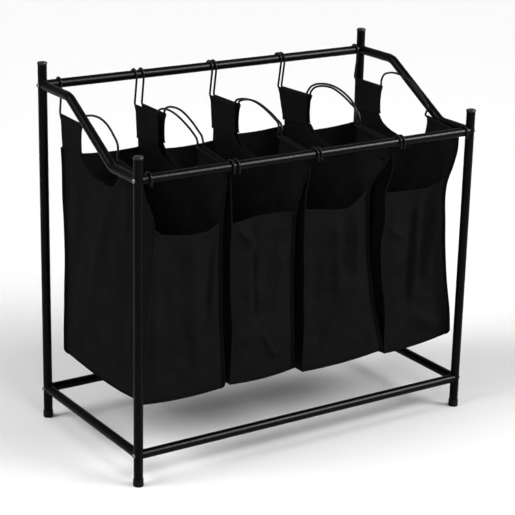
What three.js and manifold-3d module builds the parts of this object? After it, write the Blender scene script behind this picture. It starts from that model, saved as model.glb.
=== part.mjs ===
// Laundry sorter: a bolted frame of steel tube with four cloth bags, each hung on two bent wire handles.
// Millimetres. +X runs along the long rails, +Y to the back, +Z up. The origin is on the floor under the
// middle of the frame.
import * as THREE from "three";
import { mergeVertices } from "three/addons/utils/BufferGeometryUtils.js";
import Module from "manifold-3d";

const wasm = await Module();
wasm.setup();

// ---- driving dimensions -------------------------------------------------------------------------

const POST_SPACING_X = 800;     // between post axes, along the long rails
const POST_SPACING_Y = 396;     // between post axes, front to back
const BACK_POST_TOP = 778;      // top of the back posts' caps
const FRONT_POST_TOP = 674;     // top of the front posts' caps
const BACK_RAIL_Z = 730;        // axis of the back top rail
const FRONT_RAIL_Z = 627;       // axis of the front top rail
const LOW_RAIL_Z = 66;          // axis of all four bottom rails

const TUBE_R = 9.5;             // every tube of the frame is 19 mm across
const TUBE_WALL = 1.2;
const GAP = 0.3;                // left between pieces that touch
const HORN_SHORT = 5.5;         // a coped end stops this far short of the post's axis, clear of the bolt head
const BEND_R = 45;              // centre-line radius of the bends in the sloping side rails
const UPPER_BEND_Y = 80;        // where the sloping side rail leaves the back rail's height
const LOWER_BEND_Y = -100;      // where it reaches the front rail's height

const CAP_R = 10.4;             // end caps stand a little proud of the tube
const CAP_TOP = 5;
const CAP_CHAMFER = 1.8;
const CAP_PLUG = 12;
const FOOT_R = 10.6;
const FOOT_BASE = 4;
const FOOT_SLEEVE = 11;
const FOOT_CHAMFER = 1.2;

const BOLT_SHANK_R = 2.9;
const BOLT_LENGTH = 40;
const BOLT_HEAD_R = 4.6;
const BOLT_HEAD_H = 3.3;
const HEX_R = 2;                // across the corners of the key socket
const HEX_DEPTH = 1.9;
const THREAD_PLUG_LENGTH = 22;

const WIRE_R = 2;
const HOOK_R = TUBE_R + WIRE_R + 0.5;   // the wire's centre line round a rail
const HOOK_TAIL_BACK = 5;       // how far each hook's free end runs down past the rail's axis
const HOOK_TAIL_FRONT = 14;
const BACK_SLEEVE_Z = 665;      // the straight stretch through the bag's back tab
const FRONT_SLEEVE_Z = [634, 624];      // the same in the front tab, at its two ends
const FRONT_SLEEVE_Y = [-68, -150];
const BACK_SLEEVE_Y = [95, 182];
const BACK_BEND_Y = 195;        // the wire leans back a little as it drops from the back hook to its sleeve
// The raised arch between the two sleeves that a hand holds, as [y, z].
const HANDLE_ARCH = [
  [94, 676], [88, 683], [76, 689], [55, 693], [28, 695],
  [0, 693], [-27, 685], [-50, 673], [-67, 658], [-70, 648],
];
const FRONT_EYE = [[-69, 642], [-66, 634.2]];   // where the arch turns into the front sleeve

const BAG_FLOOR_Z = 150;
const BAG_FRONT_Y = -172;
const BAG_BACK_Y = 170;
const BAG_RIM_BACK_Z = 576;     // the back panel's edge
const BAG_RIM_FRONT_Z = 504;    // the front panel's edge, left low so that washing goes in from the front
const FRONT_TAB_EDGE_Z = 570;   // where the front tab starts on the front edge of a side panel
// The side panel's free edge from the back tab through the hand scoop to the front tab, as [y, z].
const SCOOP = [
  [106, 634], [105, 610], [94, 592], [74, 580], [40, 574],
  [5, 571], [-35, 572], [-56, 577], [-68, 590], [-76, 608],
];
const CLOTH = 2.4;              // wall of a bag with its seams
const CLEARANCE = 0.4;          // between a wire and the cloth's edge under it
const NOMINAL_HALF = 90;        // bags are drawn this half-width, then set to their own two wires

// Where each bag's two wires cross the back rail and the front rail, as [left, right].
const BAGS = [
  { back: [-363, -188], front: [-378, -195] },
  { back: [-171, -3], front: [-183, 2] },
  { back: [7, 174], front: [10, 208] },
  { back: [183, 384], front: [217, 384] },
];

const TUBE_SIDES = 32;
const CAP_SIDES = 24;
const WIRE_SIDES = 8;
const HOOK_STEPS = 7;
const ARCH_STEPS = 15;
const CURVE_SAMPLES = 24;       // points taken along each curve of a path before the turning points are kept
const DOME_STEPS = 4;
const BOLT_SIDES = 16;
const DRILL_SIDES = 12;
const PLUG_SIDES = 20;
const TUBE_TURN = 0.13;         // radians a bent tube turns between two of its rings
const WIRE_TURN = 0.45;
const LONGEST_STEP = 30;        // and how far apart rings may be on a straight stretch

// ---- materials ----------------------------------------------------------------------------------

const paint = () => new THREE.MeshStandardMaterial({ color: 0x0c0c0d, roughness: 0.42, metalness: 0.25 });
const wirePaint = () => new THREE.MeshStandardMaterial({ color: 0x0d0d0e, roughness: 0.38, metalness: 0.25 });
const plastic = () => new THREE.MeshStandardMaterial({ color: 0x0b0b0c, roughness: 0.5, metalness: 0 });
const blackZinc = () => new THREE.MeshStandardMaterial({ color: 0x141416, roughness: 0.35, metalness: 0.8 });
const cloth = () => new THREE.MeshStandardMaterial({ color: 0x09090a, roughness: 0.85, metalness: 0 });

const group = new THREE.Group();

function add(name, geometry, material) {
  const mesh = new THREE.Mesh(geometry, material);
  mesh.name = name;
  group.add(mesh);
  return mesh;
}

// ---- solids -------------------------------------------------------------------------------------

function toSolid(geometry) {
  const bare = geometry.clone();
  bare.deleteAttribute("normal");
  bare.deleteAttribute("uv");
  const merged = mergeVertices(bare, 1e-4);
  return new wasm.Manifold(new wasm.Mesh({
    numProp: 3,
    vertProperties: new Float32Array(merged.attributes.position.array),
    triVerts: new Uint32Array(merged.index.array),
  }));
}

function toGeometry(solid) {
  const mesh = solid.getMesh();
  const geometry = new THREE.BufferGeometry();
  geometry.setAttribute("position", new THREE.BufferAttribute(new Float32Array(mesh.vertProperties), 3));
  geometry.setIndex(new THREE.BufferAttribute(new Uint32Array(mesh.triVerts), 1));
  geometry.computeVertexNormals();
  return geometry;
}

// A round bar from one height to another on the axis of x, y, turned from its profile.
function turned(profile, sides = TUBE_SIDES) {
  const points = profile.map(([r, z]) => new THREE.Vector2(r, z));
  return new THREE.LatheGeometry(points, sides).rotateX(Math.PI / 2);
}

const rod = (radius, low, high, sides) => turned([[0, low], [radius, low], [radius, high], [0, high]], sides);

// An open tube along Z: its profile closes on itself.
const pipe = (low, high) => turned([
  [TUBE_R - TUBE_WALL, low], [TUBE_R, low], [TUBE_R, high], [TUBE_R - TUBE_WALL, high],
  [TUBE_R - TUBE_WALL, low],
]);

const alongX = (geometry) => geometry.rotateY(Math.PI / 2);
const alongY = (geometry) => geometry.rotateX(-Math.PI / 2);

// A path in the YZ plane with rounded corners. Each point is [y, z, corner radius].
function roundedPath(points) {
  const path = new THREE.CurvePath();
  const at = ([y, z]) => new THREE.Vector3(0, y, z);
  let from = at(points[0]);
  for (let i = 1; i < points.length; i++) {
    const corner = at(points[i]);
    const radius = points[i][2] ?? 0;
    if (!radius || i === points.length - 1) {
      path.add(new THREE.LineCurve3(from, corner));
      from = corner;
      continue;
    }
    const inward = corner.clone().sub(from).normalize();
    const outward = at(points[i + 1]).sub(corner).normalize();
    const reach = radius * Math.tan(Math.acos(THREE.MathUtils.clamp(inward.dot(outward), -1, 1)) / 2);
    const start = corner.clone().addScaledVector(inward, -reach);
    const end = corner.clone().addScaledVector(outward, reach);
    path.add(new THREE.LineCurve3(from, start));
    path.add(new THREE.QuadraticBezierCurve3(start, corner, end));
    from = end;
  }
  return path;
}

// A path through given points, taken one after the other at equal steps of t.
class PointPath extends THREE.Curve {
  constructor(points) {
    super();
    this.points = points;
  }
  getPoint(t, target = new THREE.Vector3()) {
    const last = this.points.length - 1;
    const place = Math.min(t, 1) * last;
    const index = Math.min(Math.floor(place), last - 1);
    return target.lerpVectors(this.points[index], this.points[index + 1], place - index);
  }
  getPointAt(t, target) {
    return this.getPoint(t, target);
  }
  getTangent(t, target = new THREE.Vector3()) {
    const step = 0.5 / (this.points.length - 1);
    const before = this.getPoint(Math.max(t - step, 0));
    return target.copy(this.getPoint(Math.min(t + step, 1))).sub(before).normalize();
  }
  getTangentAt(t, target) {
    return this.getTangent(t, target);
  }
}

// The points of a path that a swept piece follows: close together where it turns, far apart elsewhere.
function turningPoints(path, turnPerStep) {
  const dense = [];
  for (const curve of path.curves) {
    const count = curve.isLineCurve3 ? 1 : CURVE_SAMPLES;
    for (let i = dense.length ? 1 : 0; i <= count; i++) dense.push(curve.getPoint(i / count));
  }
  const kept = [dense[0]];
  let turn = 0;
  for (let i = 1; i < dense.length - 1; i++) {
    const ahead = dense[i + 1].clone().sub(dense[i]).normalize();
    const behind = dense[i].clone().sub(dense[i - 1]).normalize();
    turn += Math.acos(THREE.MathUtils.clamp(ahead.dot(behind), -1, 1));
    const longStraight = dense[i].distanceTo(kept[kept.length - 1]) > LONGEST_STEP;
    if (i === 1 || turn >= turnPerStep || longStraight) {
      kept.push(dense[i]);
      turn = 0;
    }
  }
  kept.push(dense[dense.length - 1]);
  return kept;
}

function circleShape(radius, sides) {
  const shape = new THREE.Shape();
  for (let i = 0; i < sides; i++) {
    const angle = (2 * Math.PI * (i + 0.5)) / sides;
    const x = radius * Math.cos(angle);
    const y = radius * Math.sin(angle);
    if (i === 0) shape.moveTo(x, y);
    else shape.lineTo(x, y);
  }
  shape.closePath();
  return shape;
}

function sweep(points, radius, sides, hole = 0) {
  const shape = circleShape(radius, sides);
  if (hole) shape.holes.push(new THREE.Path(circleShape(hole, sides).getPoints().reverse()));
  return new THREE.ExtrudeGeometry(shape, {
    steps: points.length - 1, extrudePath: new PointPath(points), curveSegments: 1,
  });
}

// ---- posts, caps and feet -----------------------------------------------------------------------

const halfX = POST_SPACING_X / 2;
const halfY = POST_SPACING_Y / 2;
const POSTS = [
  { name: "front_left", x: -halfX, y: -halfY, top: FRONT_POST_TOP, rail: FRONT_RAIL_Z },
  { name: "front_right", x: halfX, y: -halfY, top: FRONT_POST_TOP, rail: FRONT_RAIL_Z },
  { name: "back_left", x: -halfX, y: halfY, top: BACK_POST_TOP, rail: BACK_RAIL_Z },
  { name: "back_right", x: halfX, y: halfY, top: BACK_POST_TOP, rail: BACK_RAIL_Z },
];

const DRILL_REACH = 15;         // past the tube on both sides

// A post is a plain tube, drilled right through along X for the bolt of each long rail.
function postGeometry(post) {
  let solid = toSolid(pipe(FOOT_BASE + GAP, post.top - CAP_TOP - GAP));
  for (const z of [LOW_RAIL_Z, post.rail]) {
    const drill = alongX(rod(BOLT_SHANK_R + GAP, -DRILL_REACH, DRILL_REACH, DRILL_SIDES)).translate(0, 0, z);
    solid = solid.subtract(toSolid(drill));
  }
  return toGeometry(solid);
}

const innerR = TUBE_R - TUBE_WALL;
const capGeometry = () => turned([
  [0, -CAP_PLUG], [innerR - GAP, -CAP_PLUG], [innerR - GAP, 0],
  [CAP_R, 0], [CAP_R, CAP_TOP - CAP_CHAMFER], [CAP_R - CAP_CHAMFER, CAP_TOP], [0, CAP_TOP],
], CAP_SIDES);
const footGeometry = () => turned([
  [0, 0], [FOOT_R - FOOT_CHAMFER, 0], [FOOT_R, FOOT_CHAMFER], [FOOT_R, FOOT_BASE + FOOT_SLEEVE],
  [TUBE_R + GAP, FOOT_BASE + FOOT_SLEEVE], [TUBE_R + GAP, FOOT_BASE], [0, FOOT_BASE],
], TUBE_SIDES);

for (const post of POSTS) {
  add(`post_${post.name}`, postGeometry(post), paint()).position.set(post.x, post.y, 0);
  add(`top_cap_${post.name}`, capGeometry(), plastic()).position.set(post.x, post.y, post.top - CAP_TOP);
  add(`foot_cap_${post.name}`, footGeometry(), plastic()).position.set(post.x, post.y, 0);
}

// ---- rails --------------------------------------------------------------------------------------

const CUTTER = 60;              // length of the tools that cut the ends, well past any tube

// Cuts a rail's end to the post it meets. inwardX and inwardY point from the post into the frame. The long
// rail and the side rail meet at one height, so each is mitred at 45 degrees where the other one comes in.
function cope(solid, post, z, alongLong) {
  const column = rod(TUBE_R + GAP, -CUTTER, CUTTER).translate(post.x, post.y, z);
  const inwardX = -Math.sign(post.x);
  const inwardY = -Math.sign(post.y);
  const block = new THREE.BoxGeometry(CUTTER, CUTTER, CUTTER).translate((GAP - CUTTER) / 2, 0, 0);
  const across = alongLong ? [inwardX, -inwardY] : [-inwardX, inwardY];
  block.rotateZ(Math.atan2(across[1], across[0])).translate(post.x, post.y, z);
  return solid.subtract(toSolid(column)).subtract(toSolid(block));
}

function longRail(name, y, z) {
  const reach = halfX - HORN_SHORT;
  let solid = toSolid(alongX(pipe(-reach, reach)).translate(0, y, z));
  for (const post of POSTS.filter((p) => p.y === y)) solid = cope(solid, post, z, true);
  add(name, toGeometry(solid), paint());
}

longRail("top_rail_front", -halfY, FRONT_RAIL_Z);
longRail("top_rail_back", halfY, BACK_RAIL_Z);
longRail("bottom_rail_front", -halfY, LOW_RAIL_Z);
longRail("bottom_rail_back", halfY, LOW_RAIL_Z);

// The side rail at the top runs level from the back post, bends down and comes level again at the front post.
const slopingPath = roundedPath([
  [halfY - HORN_SHORT, BACK_RAIL_Z],
  [UPPER_BEND_Y, BACK_RAIL_Z, BEND_R],
  [LOWER_BEND_Y, FRONT_RAIL_Z, BEND_R],
  [-halfY + HORN_SHORT, FRONT_RAIL_Z],
]);

for (const [side, x] of [["left", -halfX], ["right", halfX]]) {
  const [front, back] = [POSTS.find((p) => p.x === x && p.y < 0), POSTS.find((p) => p.x === x && p.y > 0)];
  const reach = halfY - HORN_SHORT;
  let low = toSolid(alongY(pipe(-reach, reach)).translate(x, 0, LOW_RAIL_Z));
  low = cope(cope(low, front, LOW_RAIL_Z, false), back, LOW_RAIL_Z, false);
  add(`bottom_side_rail_${side}`, toGeometry(low), paint());

  const points = turningPoints(slopingPath, TUBE_TURN);
  let sloping = toSolid(sweep(points, TUBE_R, TUBE_SIDES, innerR).translate(x, 0, 0));
  sloping = cope(cope(sloping, front, FRONT_RAIL_Z, false), back, BACK_RAIL_Z, false);
  add(`sloping_side_rail_${side}`, toGeometry(sloping), paint());
}

// ---- bolts and the threaded plugs in the rail ends ----------------------------------------------

// Drawn pointing along +Z with the underside of the head at 0, then turned to point into the frame.
function boltGeometry() {
  const dome = [];
  for (let i = 0; i <= DOME_STEPS; i++) {
    const angle = (i / DOME_STEPS) * (Math.PI / 2);
    dome.push([BOLT_HEAD_R * Math.cos(angle), -BOLT_HEAD_H * Math.sin(angle)]);
  }
  dome[DOME_STEPS][0] = 0;
  const shank = [[BOLT_SHANK_R, 0], [BOLT_SHANK_R, BOLT_LENGTH], [0, BOLT_LENGTH]];
  const body = turned([...dome.reverse(), ...shank], BOLT_SIDES);
  const socket = rod(HEX_R, -BOLT_HEAD_H - 1, -BOLT_HEAD_H + HEX_DEPTH, 6);
  return toGeometry(toSolid(body).subtract(toSolid(socket)));
}

const plugFace = TUBE_R + 4;    // the plug's outer end, measured from the post's axis
const plugGeometry = () => turned([
  [BOLT_SHANK_R + GAP, plugFace], [innerR - GAP, plugFace], [innerR - GAP, plugFace + THREAD_PLUG_LENGTH],
  [BOLT_SHANK_R + GAP, plugFace + THREAD_PLUG_LENGTH], [BOLT_SHANK_R + GAP, plugFace],
], PLUG_SIDES);

for (const post of POSTS) {
  for (const [level, z] of [["top", post.rail], ["bottom", LOW_RAIL_Z]]) {
    const inward = -Math.sign(post.x);
    const bolt = boltGeometry().translate(0, 0, -TUBE_R - GAP).rotateY((inward * Math.PI) / 2);
    add(`bolt_${level}_${post.name}`, bolt, blackZinc()).position.set(post.x, post.y, z);
    const plug = plugGeometry().rotateY((inward * Math.PI) / 2);
    add(`threaded_plug_${level}_${post.name}`, plug, plastic()).position.set(post.x, post.y, z);
  }
}

// ---- wire handles -------------------------------------------------------------------------------

// One length of wire, drawn in the YZ plane from the back hook's free end to the front hook's.
function handlePoints() {
  const hook = (y, z, from, to) => {
    const points = [];
    for (let i = 0; i <= HOOK_STEPS; i++) {
      const angle = from + ((to - from) * i) / HOOK_STEPS;
      points.push([y + HOOK_R * Math.cos(angle), z + HOOK_R * Math.sin(angle)]);
    }
    return points;
  };
  const innerBack = halfY - HOOK_R;
  const innerFront = -halfY + HOOK_R;
  const arch = new THREE.SplineCurve(HANDLE_ARCH.map(([y, z]) => new THREE.Vector2(y, z)))
    .getPoints(ARCH_STEPS).map((p) => [p.x, p.y]);
  const backBend = roundedPath([
    [innerBack, BACK_RAIL_Z - 8], [BACK_BEND_Y, BACK_SLEEVE_Z, 7], [BACK_SLEEVE_Y[0], BACK_SLEEVE_Z, 6],
    [BACK_SLEEVE_Y[0], BACK_SLEEVE_Z + 10],
  ]);
  const [sleeveFrom, sleeveTo] = FRONT_SLEEVE_Y;
  const slope = (FRONT_SLEEVE_Z[1] - FRONT_SLEEVE_Z[0]) / (sleeveTo - sleeveFrom);
  const frontBend = roundedPath([
    FRONT_EYE[0], [...FRONT_EYE[1], 4],
    [innerFront, FRONT_SLEEVE_Z[1] + slope * (innerFront - sleeveTo), 6], [innerFront, FRONT_RAIL_Z],
  ]);
  const flat = (path) => turningPoints(path, WIRE_TURN).map((p) => [p.y, p.z]);
  return [
    [halfY + HOOK_R, BACK_RAIL_Z - HOOK_TAIL_BACK],
    ...hook(halfY, BACK_RAIL_Z, 0, Math.PI),
    ...flat(backBend), ...arch, ...flat(frontBend).slice(0, -1),
    ...hook(-halfY, FRONT_RAIL_Z, 0, Math.PI),
    [-halfY - HOOK_R, FRONT_RAIL_Z - HOOK_TAIL_FRONT],
  ];
}

// The wires aren't quite square to the rails: x runs evenly from the back crossing to the front one.
const across = (y, back, front) => THREE.MathUtils.mapLinear(y, halfY, -halfY, back, front);

BAGS.forEach((bag, index) => {
  ["left", "right"].forEach((side, end) => {
    const place = ([y, z]) => new THREE.Vector3(across(y, bag.back[end], bag.front[end]), y, z);
    const points = handlePoints().map(place);
    add(`bag_${index + 1}_handle_${side}`, sweep(points, WIRE_R, WIRE_SIDES), wirePaint());
  });
});

// ---- bags ---------------------------------------------------------------------------------------

// A panel drawn in the YZ plane and given its thickness along X.
function sidePanel(outline, x) {
  const shape = new THREE.Shape(outline);
  const panel = new THREE.ExtrudeGeometry(shape, { depth: CLOTH, bevelEnabled: false, steps: 1 });
  return toSolid(panel.rotateX(Math.PI / 2).rotateZ(Math.PI / 2).translate(x - CLOTH / 2, 0, 0));
}

const wall = (x, y, z) => toSolid(new THREE.BoxGeometry(x[1] - x[0], y[1] - y[0], z[1] - z[0])
  .translate((x[0] + x[1]) / 2, (y[0] + y[1]) / 2, (z[0] + z[1]) / 2));

// The side panel has a tall tab at the back and a short one in front, under the wire, and a scoop between.
function sideOutline() {
  const under = WIRE_R + CLEARANCE;
  const points = [
    [BAG_BACK_Y, BAG_FLOOR_Z], [BAG_BACK_Y, BAG_RIM_BACK_Z], [BACK_SLEEVE_Y[1], BACK_SLEEVE_Z - under],
    [BACK_SLEEVE_Y[0] + 4, BACK_SLEEVE_Z - under], ...SCOOP,
    [FRONT_SLEEVE_Y[0] - 12, FRONT_SLEEVE_Z[0] - 2 - under],
    [FRONT_SLEEVE_Y[1] - 15, FRONT_SLEEVE_Z[1] - 2 - under],
    [BAG_FRONT_Y, FRONT_TAB_EDGE_Z], [BAG_FRONT_Y, BAG_FLOOR_Z],
  ];
  return points.map(([y, z]) => new THREE.Vector2(y, z));
}

function bagGeometry(bag) {
  const outline = sideOutline();
  const inside = [-NOMINAL_HALF, NOMINAL_HALF];
  const solid = sidePanel(outline, -NOMINAL_HALF)
    .add(sidePanel(outline, NOMINAL_HALF))
    .add(wall(inside, [BAG_FRONT_Y, BAG_BACK_Y], [BAG_FLOOR_Z, BAG_FLOOR_Z + CLOTH]))
    .add(wall(inside, [BAG_BACK_Y - CLOTH, BAG_BACK_Y], [BAG_FLOOR_Z, BAG_RIM_BACK_Z]))
    .add(wall(inside, [BAG_FRONT_Y, BAG_FRONT_Y + CLOTH], [BAG_FLOOR_Z, BAG_RIM_FRONT_Z]));
  const geometry = toGeometry(solid);
  const place = geometry.attributes.position;
  for (let i = 0; i < place.count; i++) {
    const y = place.getY(i);
    const left = across(y, bag.back[0], bag.front[0]);
    const right = across(y, bag.back[1], bag.front[1]);
    place.setX(i, THREE.MathUtils.mapLinear(place.getX(i), -NOMINAL_HALF, NOMINAL_HALF, left, right));
  }
  geometry.computeVertexNormals();
  return geometry;
}

BAGS.forEach((bag, index) => add(`bag_${index + 1}`, bagGeometry(bag), cloth()));

export default group;
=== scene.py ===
# %% [markdown]
# # A four-bag laundry sorter
# A black tube frame carries four tall cloth bags. Each bag hangs from two bent wires,
# one along each of its sides, and the wires hook over the frame's two upper rails.
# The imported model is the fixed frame: it says where every part is, and which body it
# moves with. This file makes the parts that are seen, one step at a time.

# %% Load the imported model
from math import cos, pi, radians, sin

import bpy
import numpy as np
from mathutils import Matrix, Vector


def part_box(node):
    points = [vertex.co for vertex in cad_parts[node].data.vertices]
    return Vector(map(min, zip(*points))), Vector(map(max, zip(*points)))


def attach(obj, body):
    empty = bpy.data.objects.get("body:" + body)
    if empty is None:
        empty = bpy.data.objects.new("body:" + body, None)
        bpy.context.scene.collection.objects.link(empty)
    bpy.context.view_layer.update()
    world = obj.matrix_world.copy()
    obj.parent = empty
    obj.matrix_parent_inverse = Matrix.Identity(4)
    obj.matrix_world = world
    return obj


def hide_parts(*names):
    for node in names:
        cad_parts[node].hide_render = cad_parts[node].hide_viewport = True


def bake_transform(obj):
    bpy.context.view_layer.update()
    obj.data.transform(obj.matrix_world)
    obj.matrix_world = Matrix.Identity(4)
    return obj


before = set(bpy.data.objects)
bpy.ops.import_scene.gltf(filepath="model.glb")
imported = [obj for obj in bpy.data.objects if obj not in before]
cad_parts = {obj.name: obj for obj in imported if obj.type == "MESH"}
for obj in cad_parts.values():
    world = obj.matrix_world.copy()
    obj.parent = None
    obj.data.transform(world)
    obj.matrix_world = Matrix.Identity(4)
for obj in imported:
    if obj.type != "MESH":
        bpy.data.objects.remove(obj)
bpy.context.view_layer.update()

MM = 0.001                       # lengths below are in millimetres until a mesh is made

# %% [markdown]
# ## The camera
# The sorter is looked at from its front left, from a little above its top, through a
# long lens. A camera could be aimed with a constraint, but three numbers that turn it
# and one place are easier to read, so the matrix is put together from them.

# %% Camera
CAMERA_PLACE = np.array([-1.9220, -2.9078, 1.5054])
YAW, PITCH, ROLL = radians(33.484), radians(18.286), radians(1.299)
LENS, SENSOR = 120.59, 36.0

ahead = np.array([sin(YAW) * cos(PITCH), cos(YAW) * cos(PITCH), -sin(PITCH)])
level = np.array([cos(YAW), -sin(YAW), 0.0])
over = np.cross(level, ahead)
right = cos(ROLL) * level + sin(ROLL) * over
above = cos(ROLL) * over - sin(ROLL) * level

lens = bpy.data.cameras.new("camera")
lens.lens, lens.sensor_width, lens.clip_end = LENS, SENSOR, 100
camera = bpy.data.objects.new("camera", lens)
bpy.context.scene.collection.objects.link(camera)
placed = np.stack([right, above, -ahead, CAMERA_PLACE], 1)
camera.matrix_world = Matrix([*placed.tolist(), [0, 0, 0, 1]])
bpy.context.scene.camera = camera
print("camera at", CAMERA_PLACE, "lens", LENS, "mm")

# %% [markdown]
# ## Making a mesh from arrays
# A surface is worked out as one array of points, with a row and a column for its two
# parameters. These helpers join neighbouring points with faces. An open sheet keeps its
# four edges. A loft is closed round its columns, and a point in the middle of each end
# closes it there, so that no end is left open.

# %% Sheets and lofts
def mesh_piece(name, points, faces, finish, uv=None, sharp=40):
    """Makes an object from points in millimetres and a list of faces.
    uv has one pair for each point. Edges that turn more than sharp degrees stay crisp."""
    mesh = bpy.data.meshes.new(name)
    mesh.from_pydata(np.asarray(points, float) * MM, [], faces)
    mesh.polygons.foreach_set("use_smooth", np.ones(len(mesh.polygons), bool))
    if sharp:
        mesh.set_sharp_from_angle(angle=radians(sharp))
    if uv is not None:
        corner = np.empty(len(mesh.loops), np.int32)
        mesh.loops.foreach_get("vertex_index", corner)
        layer = mesh.uv_layers.new(name="cloth")
        layer.data.foreach_set("uv", (np.asarray(uv, float)[corner] * MM).ravel())
    mesh.materials.append(finish)
    mesh.validate()
    piece = bpy.data.objects.new(name, mesh)
    bpy.context.scene.collection.objects.link(piece)
    return piece


def grid_faces(rows, columns, around=False):
    """Four-cornered faces between the points of a grid that is numbered row by row."""
    r, c = np.meshgrid(np.arange(rows - 1), np.arange(columns if around else columns - 1), indexing="ij")
    d = (c + 1) % columns
    quads = np.stack([r * columns + c, r * columns + d, (r + 1) * columns + d, (r + 1) * columns + c], -1)
    return quads.reshape(-1, 4)


def sheet(name, grid, finish, flip=False, uv=None):
    """An open surface from a grid of points. uv is a grid of lengths along it, in millimetres."""
    rows, columns = grid.shape[:2]
    quads = grid_faces(rows, columns)
    quads = quads[:, ::-1] if flip else quads
    pairs = None if uv is None else np.reshape(uv, (-1, 2))
    return mesh_piece(name, grid.reshape(-1, 3), quads.tolist(), finish, pairs, sharp=0)


def loft_points(rings):
    """The points and faces of a tube whose rows are closed rings, with a fan on each end."""
    rows, columns = rings.shape[:2]
    last = rows * columns
    ends = np.stack([rings[0].mean(0), rings[-1].mean(0)])
    c = np.arange(columns)
    d = (c + 1) % columns
    first_fan = np.stack([d, c, np.full(columns, last)], -1)
    last_fan = np.stack([c + last - columns, d + last - columns, np.full(columns, last + 1)], -1)
    faces = grid_faces(rows, columns, around=True).tolist() + first_fan.tolist() + last_fan.tolist()
    return np.concatenate([rings.reshape(-1, 3), ends]), faces


def joined(parts):
    """One list of points and faces from several (points, faces) pairs."""
    points, faces, start = [], [], 0
    for some_points, some_faces in parts:
        points.append(some_points)
        faces += [[start + i for i in face] for face in some_faces]
        start += len(some_points)
    return np.concatenate(points), faces


print("mesh helpers ready")

# %% [markdown]
# ## Profiles along paths
# Tubes, wires, tapes and hems are all one ring carried along a path. Blender's own
# curves could bevel a path, but here the ring's two axes are known at each point, so a
# flat tape keeps its face to the cloth. The rest of these helpers shape a path: they
# round its corners, space its points evenly or read a smooth curve from a table.

# %% Profiles along paths
def unit(vectors):
    """The vectors, each divided by its own length."""
    return vectors / np.linalg.norm(vectors, axis=-1, keepdims=True)


def run_of(path):
    """Length along a path from its start up to each of its points."""
    return np.concatenate([[0], np.cumsum(np.linalg.norm(np.diff(path, axis=0), axis=1))])


def read_at(values, run, at):
    """A path's values, one row for each of its points, read at these lengths along it."""
    return np.stack([np.interp(at, run, values[:, i]) for i in range(values.shape[1])], -1)


def carried(path, across, width, depth, sides=16, square=1.0):
    """Rings along a path. Ring point = path point + width/2 * c * across + depth/2 * s * out,
    where c and s are the cosine and sine of the angle, each raised to the power square with
    its sign kept, across is made square to the path, and out is path direction x across.
    square 1 gives an ellipse, and less than 1 gives a flatter band with round edges."""
    path = np.asarray(path, float)
    along = unit(np.gradient(path, axis=0))
    across = np.broadcast_to(np.asarray(across, float), path.shape)
    across = unit(across - (across * along).sum(-1, keepdims=True) * along)
    out = np.cross(along, across)
    angle = np.linspace(0, 2 * pi, sides, endpoint=False)
    c = np.sign(np.cos(angle)) * np.abs(np.cos(angle)) ** square
    s = np.sign(np.sin(angle)) * np.abs(np.sin(angle)) ** square
    w = np.broadcast_to(np.asarray(width, float) / 2, path.shape[:1])[:, None, None]
    h = np.broadcast_to(np.asarray(depth, float) / 2, path.shape[:1])[:, None, None]
    return path[:, None] + w * c[None, :, None] * across[:, None] + h * s[None, :, None] * out[:, None]


def rounded_path(corners, reaches, step=2.0):
    """A path through corners, each rounded by the quadratic curve that starts and ends
    its reach away from the corner. Points lie about a step apart on the curves."""
    corners = np.asarray(corners, float)
    pieces = [corners[:1]]
    for before, corner, after, reach in zip(corners, corners[1:], corners[2:], reaches):
        if not reach:
            pieces.append(corner[None])
            continue
        start = corner + reach * unit(before - corner)
        end = corner + reach * unit(after - corner)
        t = np.linspace(0, 1, max(5, int(2 * reach / step)))[:, None]
        pieces.append((1 - t) ** 2 * start + 2 * t * (1 - t) * corner + t ** 2 * end)
    pieces.append(corners[-1:])
    return np.concatenate(pieces)


def even(path, step):
    """The same path with its points about a step apart."""
    path = np.asarray(path, float)
    run = run_of(path)
    return read_at(path, run, np.linspace(0, run[-1], max(2, round(run[-1] / step) + 1)))


def resampled(curve, share):
    """A curve read at shares of its length."""
    run = run_of(curve)
    return read_at(curve, run, share * run[-1])


def through(at, knots, values):
    """Reads a smooth curve through pairs of a knot and a value: on each span a cubic whose
    slope at a knot is the mean slope there. Before and after the knots it stays level."""
    knots, values = np.asarray(knots, float), np.asarray(values, float)
    slope = np.gradient(values, knots)
    at = np.clip(at, knots[0], knots[-1])
    i = np.clip(np.searchsorted(knots, at, side="right") - 1, 0, len(knots) - 2)
    span = knots[i + 1] - knots[i]
    t = (at - knots[i]) / span
    return ((2 * t ** 3 - 3 * t ** 2 + 1) * values[i] + (t ** 3 - 2 * t ** 2 + t) * span * slope[i]
            + (3 * t ** 2 - 2 * t ** 3) * values[i + 1] + (t ** 3 - t ** 2) * span * slope[i + 1])


def eased(t):
    """0 before 0, 1 after 1, and a soft S between: 3t^2 - 2t^3."""
    t = np.clip(t, 0, 1)
    return t * t * (3 - 2 * t)


print("path helpers ready")

# %% [markdown]
# ## Shader sums as Python
# A finish is a web of nodes. Wrapping a node's output in a small class lets an ordinary
# sum such as `1 - mask * 0.5` add its own Math nodes, so the recipe reads as a formula.
# Every other node comes from one method, `node`.

# %% Shader expressions
class Signal:
    """An output socket of a finish, with Python's sums."""

    def __init__(self, finish, socket):
        self.finish, self.socket = finish, socket

    def sum_with(self, operation, first, second):
        return self.finish.node("ShaderNodeMath", {"operation": operation}, {0: first, 1: second})

    def __add__(self, other): return self.sum_with("ADD", self, other)
    def __radd__(self, other): return self.sum_with("ADD", other, self)
    def __sub__(self, other): return self.sum_with("SUBTRACT", self, other)
    def __rsub__(self, other): return self.sum_with("SUBTRACT", other, self)
    def __mul__(self, other): return self.sum_with("MULTIPLY", self, other)
    def __rmul__(self, other): return self.sum_with("MULTIPLY", other, self)


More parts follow.
